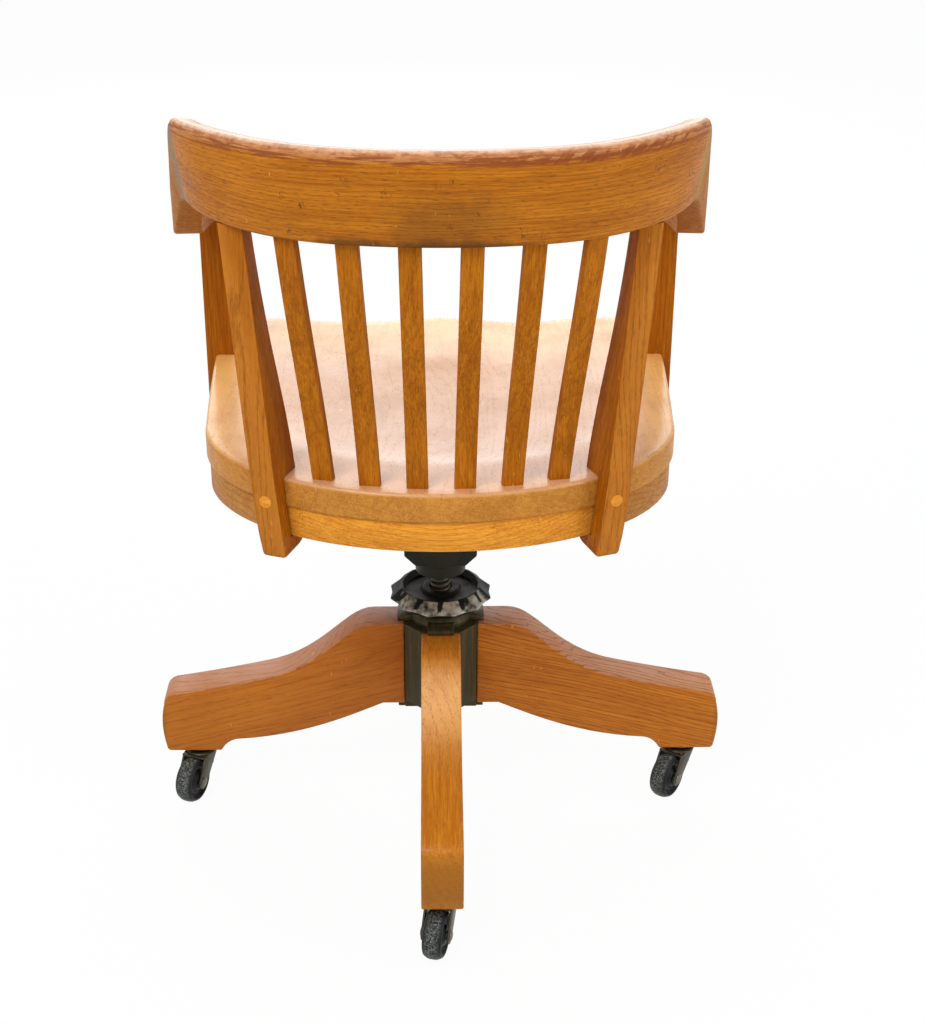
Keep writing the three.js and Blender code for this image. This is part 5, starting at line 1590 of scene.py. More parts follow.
def leg(s, side):
    angle = LEG_ANGLES[side]
    out = Vector((math.cos(angle), math.sin(angle), 0))
    aside = Vector((-math.sin(angle), math.cos(angle), 0))
    half = s.leg_thickness / 2

    def place(point, depth):
        return out * point[0] + aside * depth + Vector((0, 0, point[1]))

    body = plate(leg_outline(s), place, -half, half)
    soften(body, s.wood_edge)
    radius = SOCKET_RADIUS + SEAM
    low = LEG_END_UNDER - OVERRUN
    high = LEG_END_UNDER + SOCKET_LENGTH + SEAM
    bore = rod(radius, low, high, Matrix.Translation(socket_spot(s, side)))
    return carved(body, bore)


def upright_rod(radius, low, high, spot=(0, 0, 0)):
    return rod(radius, low, high, Matrix.Translation(spot), ROUND_STEPS // 2)


def lying_rod(radius, half_length, spot):
    """A rod that lies across the chair."""
    matrix = Matrix.Translation(spot) @ Matrix.Rotation(QUARTER, 4, "Y")
    return rod(radius, -half_length, half_length, matrix)


def screw_room(low, high):
    return upright_rod(SCREW_RADIUS + RUNNING_GAP * 2, low - OVERRUN, high + OVERRUN)


def hub_casting(s):
    z = levels(s)
    half = HUB_HALF_WIDTH
    flat = s.leg_thickness / 2
    outline = [(half, -flat), (half, flat), (flat, half), (-flat, half), (-half, flat), (-half, -flat),
               (-flat, -half), (flat, -half)]
    body = plate(outline, lambda p, depth: Vector((p[0], p[1], depth)), z["hub bottom"], z["hub top"])
    soften(body, s.metal_edge)
    lugs = []
    for long_x, long_y in ((HUB_LUG_REACH, HUB_LUG_WIDTH / 2), (HUB_LUG_WIDTH / 2, HUB_LUG_REACH)):
        low = z["hub bottom"] + (SEAM / 3 if long_x > long_y else 0)
        lug = block((-long_x, -long_y, low), (long_x, long_y, low + HUB_BOTTOM_PLATE))
        lugs.append(soften(lug, s.metal_edge))
    near, far = HUB_CORNER_START, HUB_LUG_REACH
    low, high = z["hub bottom"] - OVERRUN, z["hub bottom"] + HUB_CORNER_RISE
    run = far - near
    corners = [block((x, y, low), (x + run, y + run, high)) for x in (near, -far) for y in (near, -far)]
    return carved(fused(body, *lugs), screw_room(z["hub bottom"], z["hub top"]), *corners)


def hub_cap(s):
    z = levels(s)
    low, high = z["cap bottom"], z["cap top"]
    foot = HUB_HALF_WIDTH - HUB_CAP_LIP
    shoulder = turned([
        (0, low), (foot, low), (foot, low + HUB_CAP_LIP), (HUB_LUG_WIDTH, high - HUB_CAP_LIP),
        (HUB_LUG_WIDTH - HUB_CAP_LIP, high), (0, high)], Matrix.Identity(4))
    soften(shoulder, s.metal_edge)
    half = HUB_LUG_WIDTH / 2
    inset = HUB_LUG_REACH - LUG_SLOPE
    crown = low + HUB_CAP_LIP * 3 / 2
    outline = [
        (-HUB_LUG_REACH, low), (HUB_LUG_REACH, low), (HUB_LUG_REACH, low + HUB_CAP_LIP), (inset, crown),
        (-inset, crown), (-HUB_LUG_REACH, low + HUB_CAP_LIP)]
    along = plate(outline, facing, -half, half)
    across = plate(outline, lambda p, depth: Vector((depth, p[0], p[1] + SEAM / 3)), -half, half)
    lugs = [soften(lug, s.metal_edge, 2) for lug in (along, across)]
    return carved(fused(shoulder, *lugs), screw_room(low, high))


class CHAIR_OT_base(bpy.types.Operator):
    """Saws the four legs and casts the hub that holds them"""

    bl_idname = "chair.base"
    bl_label = "Base"

    def execute(self, context):
        s = context.scene.chair_sizes
        sawn = s.leg_reach - LEG_END_BULGE * 2

        # A painted highlight band across the upper part of the rear leg, by height
        def steep(vert):
            start, full, fading, end = LEG_HIGHLIGHT_HEIGHTS
            return ease(vert.co.z, start, full) - ease(vert.co.z, fading, end)

        masks = {
            "steep": steep,
            "end": lambda vert: ease(math.hypot(vert.co.x, vert.co.y), sawn, s.leg_reach),
            # Upward faces of the legs, which take a painted sheen
            "top": lambda vert: ease(vert.normal.z, *LEG_TOP_SLOPES),
        }
        for seed, (side, angle) in enumerate(LEG_ANGLES.items(), LEG_SEED):
            grain = board_grain((math.cos(angle), math.sin(angle), -LEG_GRAIN_SLOPE), seed)
            finish_piece(f"leg_{side}", leg(s, side), "base", materials[LEG_FINISHES[side]], grain, masks)
        finish_piece("hub_casting", hub_casting(s), "base", materials["iron"])
        finish_piece("hub_cap", hub_cap(s), "base", materials["iron"])
        return {"FINISHED"}


# Screw, nut and tilt

def height_screw(s):
    z = levels(s)
    bottom = z["hub bottom"] - SCREW_TAIL
    top = z["cup bottom"]
    turns = math.ceil((top - bottom) / SCREW_PITCH) + 2
    steps = ROUND_STEPS // 2
    threaded = fresh()
    start = bottom - SCREW_PITCH * 5 / 4
    line = [
        threaded.verts.new((SCREW_RADIUS - SCREW_THREAD_DEPTH * deep, 0, start + SCREW_PITCH * rise))
        for rise, deep in THREAD_SHARES]
    edges = [threaded.edges.new(pair) for pair in zip(line, line[1:])]
    bmesh.ops.spin(
        threaded, geom=line + edges, axis=(0, 0, 1), cent=(0, 0, 0), dvec=(0, 0, SCREW_PITCH / steps),
        angle=TURN * turns, steps=steps * turns)
    bmesh.ops.remove_doubles(threaded, verts=threaded.verts, dist=LATHE_MERGE_REACH)
    slice_off(threaded, (0, 0, bottom), (0, 0, -1))
    slice_off(threaded, (0, 0, top), (0, 0, 1))
    collar_top = top + COLLAR_THICKNESS
    journal_top = z["web top"] + SEAM + RETAINER_THICKNESS
    head = turned([
        (0, top - SEAM), (COLLAR_RADIUS - SEAM, top - SEAM), (COLLAR_RADIUS, top),
        (COLLAR_RADIUS, collar_top), (JOURNAL_RADIUS, collar_top), (JOURNAL_RADIUS, journal_top),
        (0, journal_top)], Matrix.Identity(4))
    return fused(threaded, head)


def swivel_retainer(s):
    low = levels(s)["web top"] + SEAM
    high = low + RETAINER_THICKNESS
    inner = JOURNAL_RADIUS + SEAM
    ring = turned([
        (inner, low), (RETAINER_RADIUS, low), (RETAINER_RADIUS, high), (inner, high), (inner, low)],
        Matrix.Identity(4))
    return soften(ring, s.metal_edge / 2, 2)


def hand_nut(s):
    """A dished wheel whose rim is ground to flats for the fingers."""
    z = levels(s)
    bore = SCREW_RADIUS + RUNNING_GAP * 2
    low, high = z["nut bottom"], z["nut top"]
    floor = high - NUT_DISH
    inner = s.nut_radius - NUT_RIM_WIDTH
    lip = NUT_DISH / 2
    boss = bore + NUT_FLOOR
    belt = high - NUT_RIM_HEIGHT / 2
    nut = turned([
        (bore, low), (inner, low), (s.nut_radius, belt - lip / 3), (s.nut_radius, belt), (inner, high),
        (inner - lip, high), (inner - lip * 3 / 2, high - lip), (inner - NUT_DISH, floor),
        (boss + lip, floor), (boss, floor + lip), (bore, floor + lip), (bore, low)], Matrix.Identity(4),
        NUT_SIDES * NUT_STEPS_A_SIDE)
    flat = TURN / NUT_SIDES
    for vert in nut.verts:
        radius = math.hypot(vert.co.x, vert.co.y)
        if radius > inner - lip / 2:
            off = (math.atan2(vert.co.y, vert.co.x) + flat / 2) % flat - flat / 2
            share = math.cos(flat / 2) / math.cos(off)
            if radius > inner + lip:
                share *= 1 - NUT_FLUTE_SHARE * (1 + math.cos(off / flat * TURN)) / 2
            vert.co.x *= share
            vert.co.y *= share
    soften(nut, s.metal_edge, 3, NUT_SOFTEN_ANGLE)
    worn = nut.verts.layers.float["worn"]
    for vert in nut.verts:
        # Bare iron on the flats is real wear, but it is kept to the flats on the chair's rear side, facing
        # the camera, where it also stands in for their glint
        outer = math.hypot(vert.co.x, vert.co.y) > inner - lip / 3 and vert.co.z > belt - lip
        rubbed = NUT_FLAT_WEAR_AND_GLINT_SHARE * ease(vert.co.y, -inner / 3, inner * 2 / 3)
        vert[worn] = max(vert[worn] * NUT_EDGE_WEAR_SHARE, rubbed if outer else 0)
    return nut


def swivel_head(s):
    z = levels(s)
    low = z["cup bottom"]
    web = z["web top"]
    cup_top = low + CUP_HEIGHT
    cup = turned([
        (0, low), (CUP_RADIUS - SEAM, low), (CUP_RADIUS, low + SEAM), (CUP_RADIUS, cup_top),
        (HEAD_HALF_DEPTH, web - OVERRUN), (0, web - OVERRUN)], Matrix.Identity(4))
    wing_base = cup_top + CUP_HEIGHT * 3 / 4
    foot = CUP_RADIUS - SEAM
    outline = [(-foot, cup_top - SEAM), (foot, cup_top - SEAM), (HEAD_HALF_WIDTH, wing_base),
               (HEAD_HALF_WIDTH, web), (-HEAD_HALF_WIDTH, web), (-HEAD_HALF_WIDTH, wing_base)]
    wings = soften(plate(outline, facing, -HEAD_HALF_DEPTH, HEAD_HALF_DEPTH), s.metal_edge * 2)
    finger_back = STOP_FINGER - CHEEK_HALF_DEPTH
    finger_top = z["spider under"] - SEAM
    outline = [Vector((-HEAD_HALF_DEPTH, web - OVERRUN)), Vector((HEAD_HALF_DEPTH, web - OVERRUN))]
    outline += arc((0, z["pin"]), CHEEK_HALF_DEPTH, CHEEK_HALF_DEPTH, 0, QUARTER, CURVE_STEPS)
    outline += [Vector((finger_back, z["pin"] + CHEEK_HALF_DEPTH)), Vector((finger_back, finger_top)),
                Vector((-CHEEK_HALF_DEPTH, finger_top)), Vector((-CHEEK_HALF_DEPTH, z["pin"]))]
    middle = HEAD_HALF_WIDTH - CHEEK_THICKNESS / 2
    cheeks = []
    for spot in (-middle, middle):
        cheek = plate(outline, sideways(spot), -CHEEK_THICKNESS / 2, CHEEK_THICKNESS / 2)
        cheeks.append(soften(cheek, s.metal_edge))
    boss_z = web + BOSS_RADIUS / 8
    standing = Matrix.Translation((0, 0, boss_z)) @ Matrix.Rotation(-QUARTER, 4, "X")
    start = HEAD_HALF_DEPTH - OVERRUN
    end = HEAD_HALF_DEPTH + BOSS_THICKNESS
    boss = rod(BOSS_RADIUS, start, end, standing)
    soften(boss, s.metal_edge)
    half = NOSE_HALF_WIDTH
    nose_under = web - NOSE_THICKNESS
    nose = block((-half, -NOSE_REACH, nose_under), (half, -HEAD_HALF_DEPTH / 2, web))
    body = fused(cup, wings, soften(nose, s.metal_edge * 2), *cheeks)
    above_web = block(
        (-HEAD_HALF_WIDTH, -HEAD_HALF_DEPTH, web), (HEAD_HALF_WIDTH, HEAD_HALF_DEPTH + SEAM, z["pin"]))
    boss = carved(boss, above_web)
    body = fused(body, boss)
    return carved(
        body,
        upright_rod(COLLAR_RADIUS + RUNNING_GAP * 2, low - OVERRUN, low + COLLAR_THICKNESS + SEAM),
        upright_rod(JOURNAL_RADIUS + RUNNING_GAP * 2, low, web + OVERRUN),
        upright_rod(TENSION_SCREW_RADIUS + RUNNING_GAP, nose_under - OVERRUN, web + OVERRUN, TENSION_SPOT),
        lying_rod(PIN_RADIUS + SEAM, HEAD_HALF_WIDTH + OVERRUN, (0, 0, z["pin"])))


def pin_half_length():
    return HEAD_HALF_WIDTH + SPIDER_LUG_GAP * 2 + SPIDER_LUG_THICKNESS


def tilt_pin(s):
    return soften(lying_rod(PIN_RADIUS, pin_half_length(), (0, 0, levels(s)["pin"])), s.metal_edge)


def spring_line(s):
    """A leg to the front, the curls round the tilt pin, and a leg to the rear."""
    z = levels(s)
    pin = z["pin"]
    half = SPRING_CURLS * SPRING_PITCH / 2
    low = pin - SPRING_RADIUS
    line = [Vector((-half, -SPRING_LEG_REACH, low)), Vector((-half, -SPRING_LEG_REACH / 4, low))]
    steps = SPRING_CURLS * SPRING_STEPS
    for i in range(steps + 1):
        angle = TURN * SPRING_CURLS * i / steps
        line.append(Vector((
            SPRING_PITCH * SPRING_CURLS * i / steps - half,
            SPRING_RADIUS * math.sin(angle), pin - SPRING_RADIUS * math.cos(angle))))
    rear = Vector((half, SPRING_LEG_REACH * 2 / 3, z["spider under"] - SEAM - SPRING_WIRE / 2))
    below = (half, SPRING_RADIUS, pin - SPRING_RADIUS)
    beside = (half, SPRING_RADIUS * 3 / 2, pin + SPRING_RADIUS / 3)
    carry_on(line, below, beside, rear)
    return line


def tilt_spring(line, first, last):
    """The wire of the spring from one point of its line to another."""
    rings = []
    for i in range(first, last + 1):
        point = line[i]
        along = (line[min(i + 1, len(line) - 1)] - line[max(i - 1, 0)]).normalized()
        side = Vector((1, 0, 0))
        side = (side - along * along.x).normalized()
        up = along.cross(side)
        angles = [TURN * j / SPRING_SIDES for j in range(SPRING_SIDES)]
        rings.append([point + (side * math.cos(a) + up * math.sin(a)) * SPRING_WIRE / 2 for a in angles])
    return grow(fresh(), rings)


def tension_screw(s):
    z = levels(s)
    half = TENSION_HEAD_HALF_WIDTH
    low = z["pin"] - SPRING_RADIUS + SPRING_WIRE / 2 + SEAM
    head = soften(block(
        (-SPRING_CURLS * SPRING_PITCH / 2 - half / 2, -TENSION_OFFSET - half / 2, low),
        (half, half / 2 - TENSION_OFFSET, low + TENSION_HEAD_THICKNESS)), s.metal_edge)
    bottom = z["web top"] - NOSE_THICKNESS - SEAM - TENSION_SCREW_DROP
    stem = upright_rod(TENSION_SCREW_RADIUS, bottom, low + SEAM, TENSION_SPOT)
    return fused(head, soften(stem, s.metal_edge, 2, SHARP_ANGLE))


def tension_knob(s):
    top = levels(s)["web top"] - NOSE_THICKNESS - SEAM
    bore = TENSION_SCREW_RADIUS + RUNNING_GAP
    bottom = top - TENSION_KNOB_HEIGHT
    radius = TENSION_KNOB_RADIUS
    neck = radius / 2
    knob = turned([
        (bore, bottom), (radius * 4 / 5, bottom), (radius, bottom + TENSION_KNOB_HEIGHT / 5),
        (radius, bottom + TENSION_KNOB_HEIGHT / 2), (neck, bottom + TENSION_KNOB_HEIGHT * 3 / 4),
        (neck, top), (bore, top), (bore, bottom)], Matrix.Translation(TENSION_SPOT), NUT_SIDES * 4)
    for vert in knob.verts:
        x, y = vert.co.x, vert.co.y + TENSION_OFFSET
        if math.hypot(x, y) > radius * KNOB_NECK_SHARE:
            share = 1 - KNOB_SCALLOP_SHARE * (1 - math.cos(NUT_SIDES / 2 * math.atan2(y, x))) / 2
            vert.co.x = x * share
            vert.co.y = y * share - TENSION_OFFSET
    return soften(knob, s.metal_edge)


def spider_screw_spots():
    rows = (-SPIDER_FRONT_REACH, SPIDER_REAR_REACH)
    return [(side * SPIDER_SIDE_REACH, y) for y in rows for side in (-1, 1)]


def wood_screw(s, spot):
    """A slotted round head under the spider, and a shank that runs up into the board."""
    top = levels(s)["spider under"] - SEAM
    dome = arc((0, top - WOOD_SCREW_HEAD_HEIGHT / 4), WOOD_SCREW_HEAD, WOOD_SCREW_HEAD_HEIGHT * 3 / 4,
               -QUARTER, 0, CORNER_STEPS)
    tip = top + SEAM + WOOD_SCREW_LENGTH
    body = turned([(p.x, p.y) for p in dome] + [
        (WOOD_SCREW_HEAD, top), (WOOD_SCREW_RADIUS, top),
        (WOOD_SCREW_RADIUS, tip - WOOD_SCREW_RADIUS), (0, tip)],
        Matrix.Translation((*spot, 0)), ROUND_STEPS // 2)
    low = top - WOOD_SCREW_HEAD_HEIGHT
    slot = block((spot[0] - WOOD_SCREW_HEAD * 2, spot[1] - SEAM * 2, low - OVERRUN),
                 (spot[0] + WOOD_SCREW_HEAD * 2, spot[1] + SEAM * 2, low + WOOD_SCREW_HEAD_HEIGHT / 3))
    return carved(body, slot)


def seat_spider(s):
    z = levels(s)
    low = z["spider under"]
    high = low + SPIDER_THICKNESS
    body = block((-SPIDER_HALF_WIDTH, -SPIDER_HALF_DEPTH, low), (SPIDER_HALF_WIDTH, SPIDER_HALF_DEPTH, high))
    soften(body, s.metal_edge)
    outline = [Vector((-SPIDER_HALF_DEPTH * 3 / 5, low + SPIDER_THICKNESS / 2))]
    outline += arc((0, z["pin"]), CHEEK_HALF_DEPTH, CHEEK_HALF_DEPTH, math.pi, TURN, CURVE_STEPS)
    outline.append(Vector((SPIDER_HALF_DEPTH * 3 / 5, low + SPIDER_THICKNESS / 2)))
    inner = HEAD_HALF_WIDTH + SPIDER_LUG_GAP
    parts = []
    for start in (inner, -inner - SPIDER_LUG_THICKNESS):
        lug = plate(outline, sideways(start), 0, SPIDER_LUG_THICKNESS)
        parts.append(soften(lug, s.metal_edge))
    for lift, (x, y) in enumerate(spider_screw_spots()):
        start = Vector((math.copysign(SPIDER_HALF_WIDTH, x) / 2, math.copysign(SPIDER_HALF_DEPTH, y) / 2))
        run = Vector((x, y)) - start
        along = run.normalized()
        half = SPIDER_ARM_WIDTH / 2
        outline = [Vector((0, half)), Vector((0, -half))]
        outline += arc((run.length, 0), half, half, -QUARTER, QUARTER, CURVE_STEPS)
        spare = SEAM * lift / 50

        def place(point, depth):
            x = start.x + along.x * point[0] - along.y * point[1]
            y = start.y + along.y * point[0] + along.x * point[1]
            return Vector((x, y, depth))

        parts.append(soften(plate(outline, place, low + spare, high - spare), s.metal_edge))
    body = fused(body, *parts)
    holes = [
        upright_rod(WOOD_SCREW_RADIUS + SEAM, low - OVERRUN, high + OVERRUN, (*spot, 0))
        for spot in spider_screw_spots()]
    bore = lying_rod(PIN_RADIUS + RUNNING_GAP, pin_half_length() + OVERRUN, (0, 0, z["pin"]))
    return carved(body, bore, *holes)


class CHAIR_OT_screw(bpy.types.Operator):
    """Threads the height screw and sets the hand nut on it"""

    bl_idname = "chair.screw"
    bl_label = "Height screw"

    def execute(self, context):
        s = context.scene.chair_sizes
        finish_piece("height_screw", height_screw(s), "height_screw", materials["bronze"])
        finish_piece("swivel_retainer", swivel_retainer(s), "height_screw", materials["steel"])
        finish_piece("hand_nut", hand_nut(s), "hand_nut", materials["nut"])
        return {"FINISHED"}


class CHAIR_OT_tilt(bpy.types.Operator):
    """Casts the swivel head and the spider, and winds the tilt spring between them"""

    bl_idname = "chair.tilt"
    bl_label = "Tilt"

    def execute(self, context):
        s = context.scene.chair_sizes
        # The swivel head takes the darker iron that stands in for the shade under the seat
        finish_piece("swivel_head", swivel_head(s), "swivel_head", materials["head iron"])
        finish_piece("tilt_pin", tilt_pin(s), "swivel_head", materials["steel"])
        line = spring_line(s)
        middle = SPRING_CURLS * SPRING_STEPS // 2
        low = levels(s)["pin"] - SPRING_RADIUS
        head = TENSION_HEAD_HALF_WIDTH / 2
        pulled = ("tension_screw", (0, -SPRING_RADIUS * 6 / 5, low), (0, head * 3 / 2 - TENSION_OFFSET, low))
        pressed = ("seat", (0, 0, low + SPRING_RADIUS), tuple(line[-1]))
        for part, first, last, bend in (
                ("_front", 0, middle, pulled), ("_rear", middle, len(line) - 1, pressed)):
            finish_piece("tilt_spring", tilt_spring(line, first, last), "swivel_head", materials["steel"],
                         part=part, bend=bend)
        finish_piece("tension_screw", tension_screw(s), "tension_screw", materials["bronze"])
        finish_piece("tension_knob", tension_knob(s), "tension_knob", materials["iron"])
        finish_piece("seat_spider", seat_spider(s), "seat", materials["iron"])
        for number, spot in enumerate(spider_screw_spots()):
            finish_piece(f"spider_screw_{number + 1}", wood_screw(s, spot), "seat", materials["steel"])
        return {"FINISHED"}


# Casters

def caster_place(s, side):
    """Turns the plan of a caster that trails to the rear into its place under a leg."""
    turn = Matrix.Rotation(-math.radians(CASTER_TURNS[side]), 4, "Z")
    return Matrix.Translation(socket_spot(s, side)) @ turn


def axle_place(s, side):
    hung = Matrix.Translation((0, CASTER_TRAIL, s.wheel_radius))
    return caster_place(s, side) @ hung @ Matrix.Rotation(QUARTER, 4, "Y")


def caster_fork(s, side):
    boss = FORK_BOSS_RADIUS
    under = FORK_PLATE_UNDER
    radius = FORK_PLATE_RADIUS
    outline = [Vector((-radius * 3 / 4, under))]
    outline += arc((CASTER_TRAIL, s.wheel_radius), boss, boss, *FORK_END_ANGLES, CURVE_STEPS)
    outline += [Vector((radius, under)), Vector((radius / 2, under + FORK_PLATE_HEIGHT / 2)),
                Vector((-radius / 2, under + FORK_PLATE_HEIGHT / 2))]
    inner = WHEEL_WIDTH / 2 + FORK_GAP
    cheeks = []
    for edge in (inner, -inner - FORK_METAL):
        cheek = plate(outline, sideways(edge), 0, FORK_METAL)
        cheeks.append(soften(cheek, s.metal_edge / 2, 2))
    top = under + FORK_PLATE_HEIGHT
    horn = turned([
        (0, under), (radius, under), (radius, under + FORK_PLATE_HEIGHT / 2), (radius - FORK_METAL, top),
        (STEM_RADIUS, top), (STEM_RADIUS, top + STEM_LENGTH), (0, top + STEM_LENGTH)], Matrix.Identity(4))
    soften(horn, s.metal_edge / 2, 2)
    web_radius = s.wheel_radius + FORK_WEB_GAP
    axle_spot = (CASTER_TRAIL, s.wheel_radius)
    outline = arc(axle_spot, web_radius, web_radius, *FORK_WEB_ANGLES, CURVE_STEPS)
    web_radius += FORK_WEB_METAL
    outline += reversed(arc(axle_spot, web_radius, web_radius, *FORK_WEB_ANGLES, CURVE_STEPS))
    web_half = inner + FORK_METAL / 2
    web = plate(outline, sideways(0), -web_half, web_half)
    bore = lying_rod(AXLE_RADIUS + SEAM, radius, (0, CASTER_TRAIL, s.wheel_radius))
    fork = carved(fused(horn, web, *cheeks), bore)
    bmesh.ops.transform(fork, matrix=caster_place(s, side), verts=fork.verts)
    return fork


def caster_axle(s, side):
    half = WHEEL_WIDTH / 2 + FORK_GAP + FORK_METAL + SEAM
    dome = arc((0, 0), RIVET_RADIUS, RIVET_HEIGHT, 0, QUARTER, CORNER_STEPS)
    upper = [(p.x, half + p.y) for p in dome]
    lower = [(radius, -height) for radius, height in reversed(upper)]
    profile = lower + [(AXLE_RADIUS, -half), (AXLE_RADIUS, half)] + upper
    return turned(profile, axle_place(s, side), ROUND_STEPS // 2)


def caster_wheel(s, side):
    half = WHEEL_WIDTH / 2
    rim = s.wheel_radius - WHEEL_DISH / 2
    floor = half - WHEEL_DISH
    hub = WHEEL_HUB_RADIUS + WHEEL_DISH
    ridge = (hub + rim - WHEEL_DISH) / 2
    upper = [
        (s.wheel_radius, half / 4), (s.wheel_radius - WHEEL_CROWN / 4, half / 2),
        (s.wheel_radius - WHEEL_CROWN, half * 4 / 5), (rim - WHEEL_CROWN / 2, half * 14 / 15),
        (rim - WHEEL_DISH * 2 / 3, half), (rim - WHEEL_DISH, floor),
        (ridge + SEAM * 2, floor), (ridge, floor + SEAM * 3), (ridge - SEAM * 2, floor),
        (hub, floor), (WHEEL_HUB_RADIUS, half), (WHEEL_BORE_RADIUS, half)]
    lower = [(radius, -height) for radius, height in reversed(upper)]
    wheel = turned(lower + upper + lower[:1], axle_place(s, side))
    return soften(wheel, s.metal_edge / 2, 2)


def caster_socket(s, side):
    bore = STEM_RADIUS + RUNNING_GAP
    flange_top = LEG_END_UNDER - SEAM
    low = FORK_PLATE_UNDER + FORK_PLATE_HEIGHT + SEAM
    high = LEG_END_UNDER + SOCKET_LENGTH
    socket = turned([
        (bore, low), (SOCKET_FLANGE_RADIUS * 2 / 3, low),
        (SOCKET_FLANGE_RADIUS, flange_top - SOCKET_FLANGE_HEIGHT), (SOCKET_FLANGE_RADIUS, flange_top),
        (SOCKET_RADIUS, flange_top), (SOCKET_RADIUS, high), (bore, high), (bore, low)],
        caster_place(s, side))
    return soften(socket, s.metal_edge / 2, 2)


class CHAIR_OT_casters(bpy.types.Operator):
    """Fits each leg with its socket, fork, wheel and riveted axle"""

    bl_idname = "chair.casters"
    bl_label = "Casters"

    def execute(self, context):
        s = context.scene.chair_sizes
        for side in LEG_ANGLES:
            to_axle = axle_place(s, side).inverted()

            def tread(vert):
                local = to_axle @ vert.co
                reach = math.hypot(local.x, local.y)
                return ease(reach, s.wheel_radius - WHEEL_CROWN, s.wheel_radius - WHEEL_CROWN / 3)

            finish_piece(f"caster_socket_{side}", caster_socket(s, side), "base", materials["steel"])
            finish_piece(f"caster_fork_{side}", caster_fork(s, side), f"caster_{side}", materials["bronze"])
            finish_piece(f"caster_axle_{side}", caster_axle(s, side), f"caster_{side}", materials["steel"])
            finish_piece(
                f"caster_wheel_{side}", caster_wheel(s, side), f"wheel_{side}", materials["rubber"],
                masks={"tread": tread})
        return {"FINISHED"}


# Stage

def lamp(name, spot, size, power):
    """Hangs a round lamp that points at the middle of the chair."""
    light = bpy.data.lights.new(name, "AREA")
    light.shape = "DISK"
    light.size = size
    light.energy = power
    thing = bpy.data.objects.new(name, light)
    thing.location = spot
    thing.rotation_euler = (Vector(LAMP_AIM) - Vector(spot)).to_track_quat("-Z", "Y").to_euler()
    bpy.context.scene.collection.objects.link(thing)


def seen_directly(tree):
    """One for the camera's rays and for mirrored and refracted ones."""
    path = put(tree, "ShaderNodeLightPath").outputs
    seen = sum_of(tree, "MAXIMUM", path["Is Camera Ray"], path["Is Glossy Ray"])
    return sum_of(tree, "MAXIMUM", seen, path["Is Transmission Ray"])


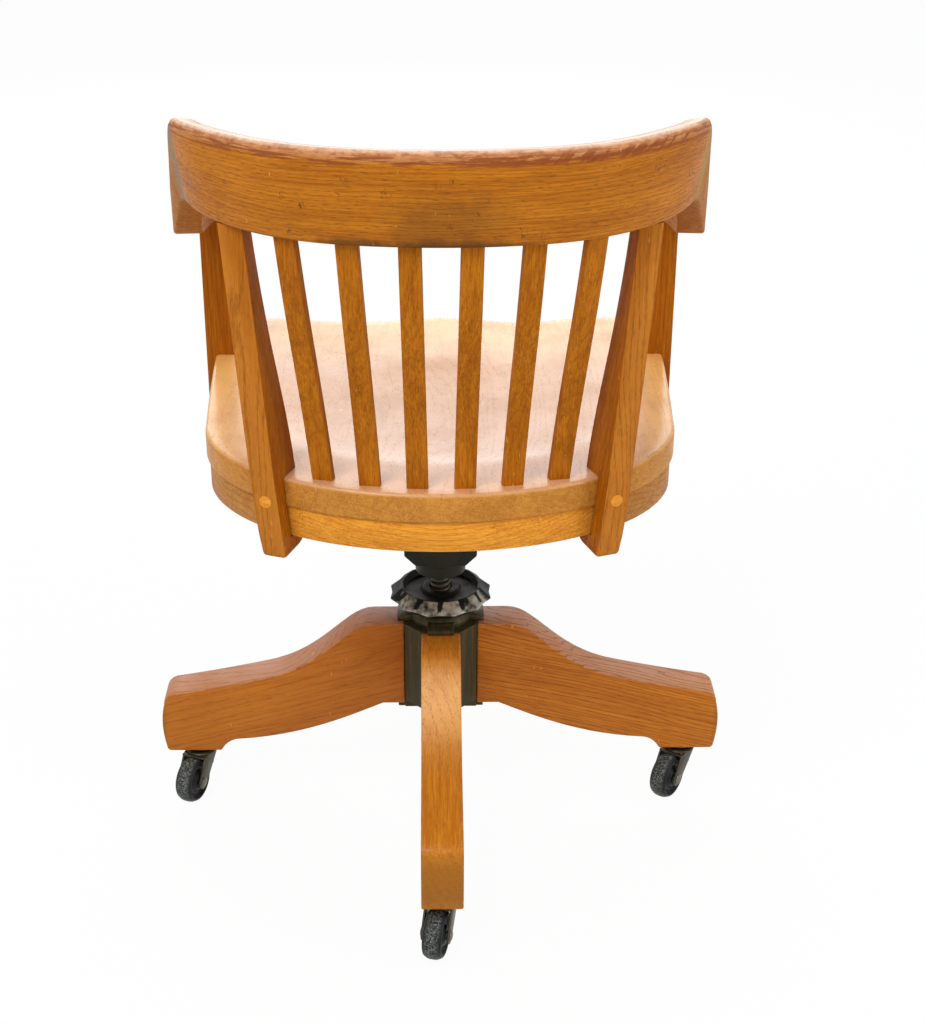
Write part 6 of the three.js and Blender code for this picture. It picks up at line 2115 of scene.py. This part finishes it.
class CHAIR_OT_stage(bpy.types.Operator):
    """Lays the pale floor, hangs the lamps and sets the camera"""

    bl_idname = "chair.stage"
    bl_label = "Stage"

    def execute(self, context):
        scene = context.scene
        scene.view_settings.view_transform = "Standard"
        bm = bmesh.new()
        bmesh.ops.create_grid(bm, x_segments=1, y_segments=1, size=FLOOR_HALF_WIDTH)
        mesh = bpy.data.meshes.new("floor")
        bm.to_mesh(mesh)
        bm.free()
        floor = bpy.data.objects.new("floor", mesh)
        scene.collection.objects.link(floor)
        material, tree, surface = blank("Pale floor")[:3]
        surface.inputs["Base Color"].default_value = (*FLOOR_COLOUR, 1)
        surface.inputs["Roughness"].default_value = FLOOR_ROUGHNESS
        surface.inputs["Specular IOR Level"].default_value = 0.0
        glow = put(tree, "ShaderNodeEmission", {"Color": WHITE, "Strength": 1.0})
        share = sum_of(tree, "MULTIPLY", seen_directly(tree), FLOOR_GLOW_SHARE)
        both = put(tree, "ShaderNodeMixShader", {0: share, 1: surface.outputs[0], 2: glow.outputs[0]})
        end = next(node for node in tree.nodes if node.type == "OUTPUT_MATERIAL")
        tree.links.new(both.outputs[0], end.inputs["Surface"])
        mesh.materials.append(material)
        world = bpy.data.worlds.new("Soft studio")
        world.use_nodes = True
        tree = world.node_tree
        tree.nodes.clear()
        soft = put(tree, "ShaderNodeBackground", {"Color": WHITE, "Strength": WORLD_STRENGTH})
        white = put(tree, "ShaderNodeBackground", {"Color": WHITE, "Strength": 1.0})
        both = put(tree, "ShaderNodeMixShader", {
            0: seen_directly(tree), 1: soft.outputs[0], 2: white.outputs[0]})
        end = put(tree, "ShaderNodeOutputWorld")
        tree.links.new(both.outputs[0], end.inputs["Surface"])
        scene.world = world
        for name, spot, size, power in LAMPS:
            lamp(name, spot, size, power)
        camera = bpy.data.cameras.new("Camera")
        camera.sensor_fit = "VERTICAL"
        camera.sensor_height = SENSOR_HEIGHT
        camera.lens = CAMERA_LENS
        level = Vector((math.sin(CAMERA_TURN), math.cos(CAMERA_TURN), 0)) * -math.cos(CAMERA_PITCH)
        ahead = level - Vector((0, 0, math.sin(CAMERA_PITCH)))
        right = Vector((-math.cos(CAMERA_TURN), math.sin(CAMERA_TURN), 0))
        up = right.cross(ahead)
        tilted_right = right * math.cos(CAMERA_ROLL) + up * math.sin(CAMERA_ROLL)
        tilted_up = up * math.cos(CAMERA_ROLL) - right * math.sin(CAMERA_ROLL)
        turn = Matrix((tilted_right, tilted_up, -ahead)).transposed().to_4x4()
        thing = bpy.data.objects.new("Camera", camera)
        thing.matrix_world = Matrix.Translation(CAMERA_SPOT) @ turn
        scene.collection.objects.link(thing)
        scene.camera = thing
        return {"FINISHED"}


# Add-on

operators = (
    CHAIR_OT_seat, CHAIR_OT_back, CHAIR_OT_arms, CHAIR_OT_base, CHAIR_OT_screw, CHAIR_OT_tilt,
    CHAIR_OT_casters, CHAIR_OT_stage)


class CHAIR_PT_build(bpy.types.Panel):
    """Lists the steps that build the chair"""

    bl_idname = "CHAIR_PT_build"
    bl_label = "Bankers swivel chair"
    bl_space_type = "VIEW_3D"
    bl_region_type = "UI"
    bl_category = "Chair"

    def draw(self, context):
        column = self.layout.column()
        for operator in operators:
            column.operator(operator.bl_idname)
        for name in SIZES:
            column.prop(context.scene.chair_sizes, name)
        for name in COLOURS:
            column.prop(context.scene.chair_colours, name)


def register():
    for thing in (ChairSizes, ChairColours, *operators, CHAIR_PT_build):
        bpy.utils.register_class(thing)
    bpy.types.Scene.chair_sizes = bpy.props.PointerProperty(type=ChairSizes)
    bpy.types.Scene.chair_colours = bpy.props.PointerProperty(type=ChairColours)


def unregister():
    del bpy.types.Scene.chair_colours
    del bpy.types.Scene.chair_sizes
    for thing in (CHAIR_PT_build, *reversed(operators), ChairColours, ChairSizes):
        bpy.utils.unregister_class(thing)


def main():
    register()
    make_materials()
    bpy.ops.chair.seat()
    bpy.ops.chair.back()
    bpy.ops.chair.arms()
    bpy.ops.chair.base()
    bpy.ops.chair.screw()
    bpy.ops.chair.tilt()
    bpy.ops.chair.casters()
    bpy.ops.chair.stage()
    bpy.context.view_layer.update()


if __name__ == "__main__":
    main()
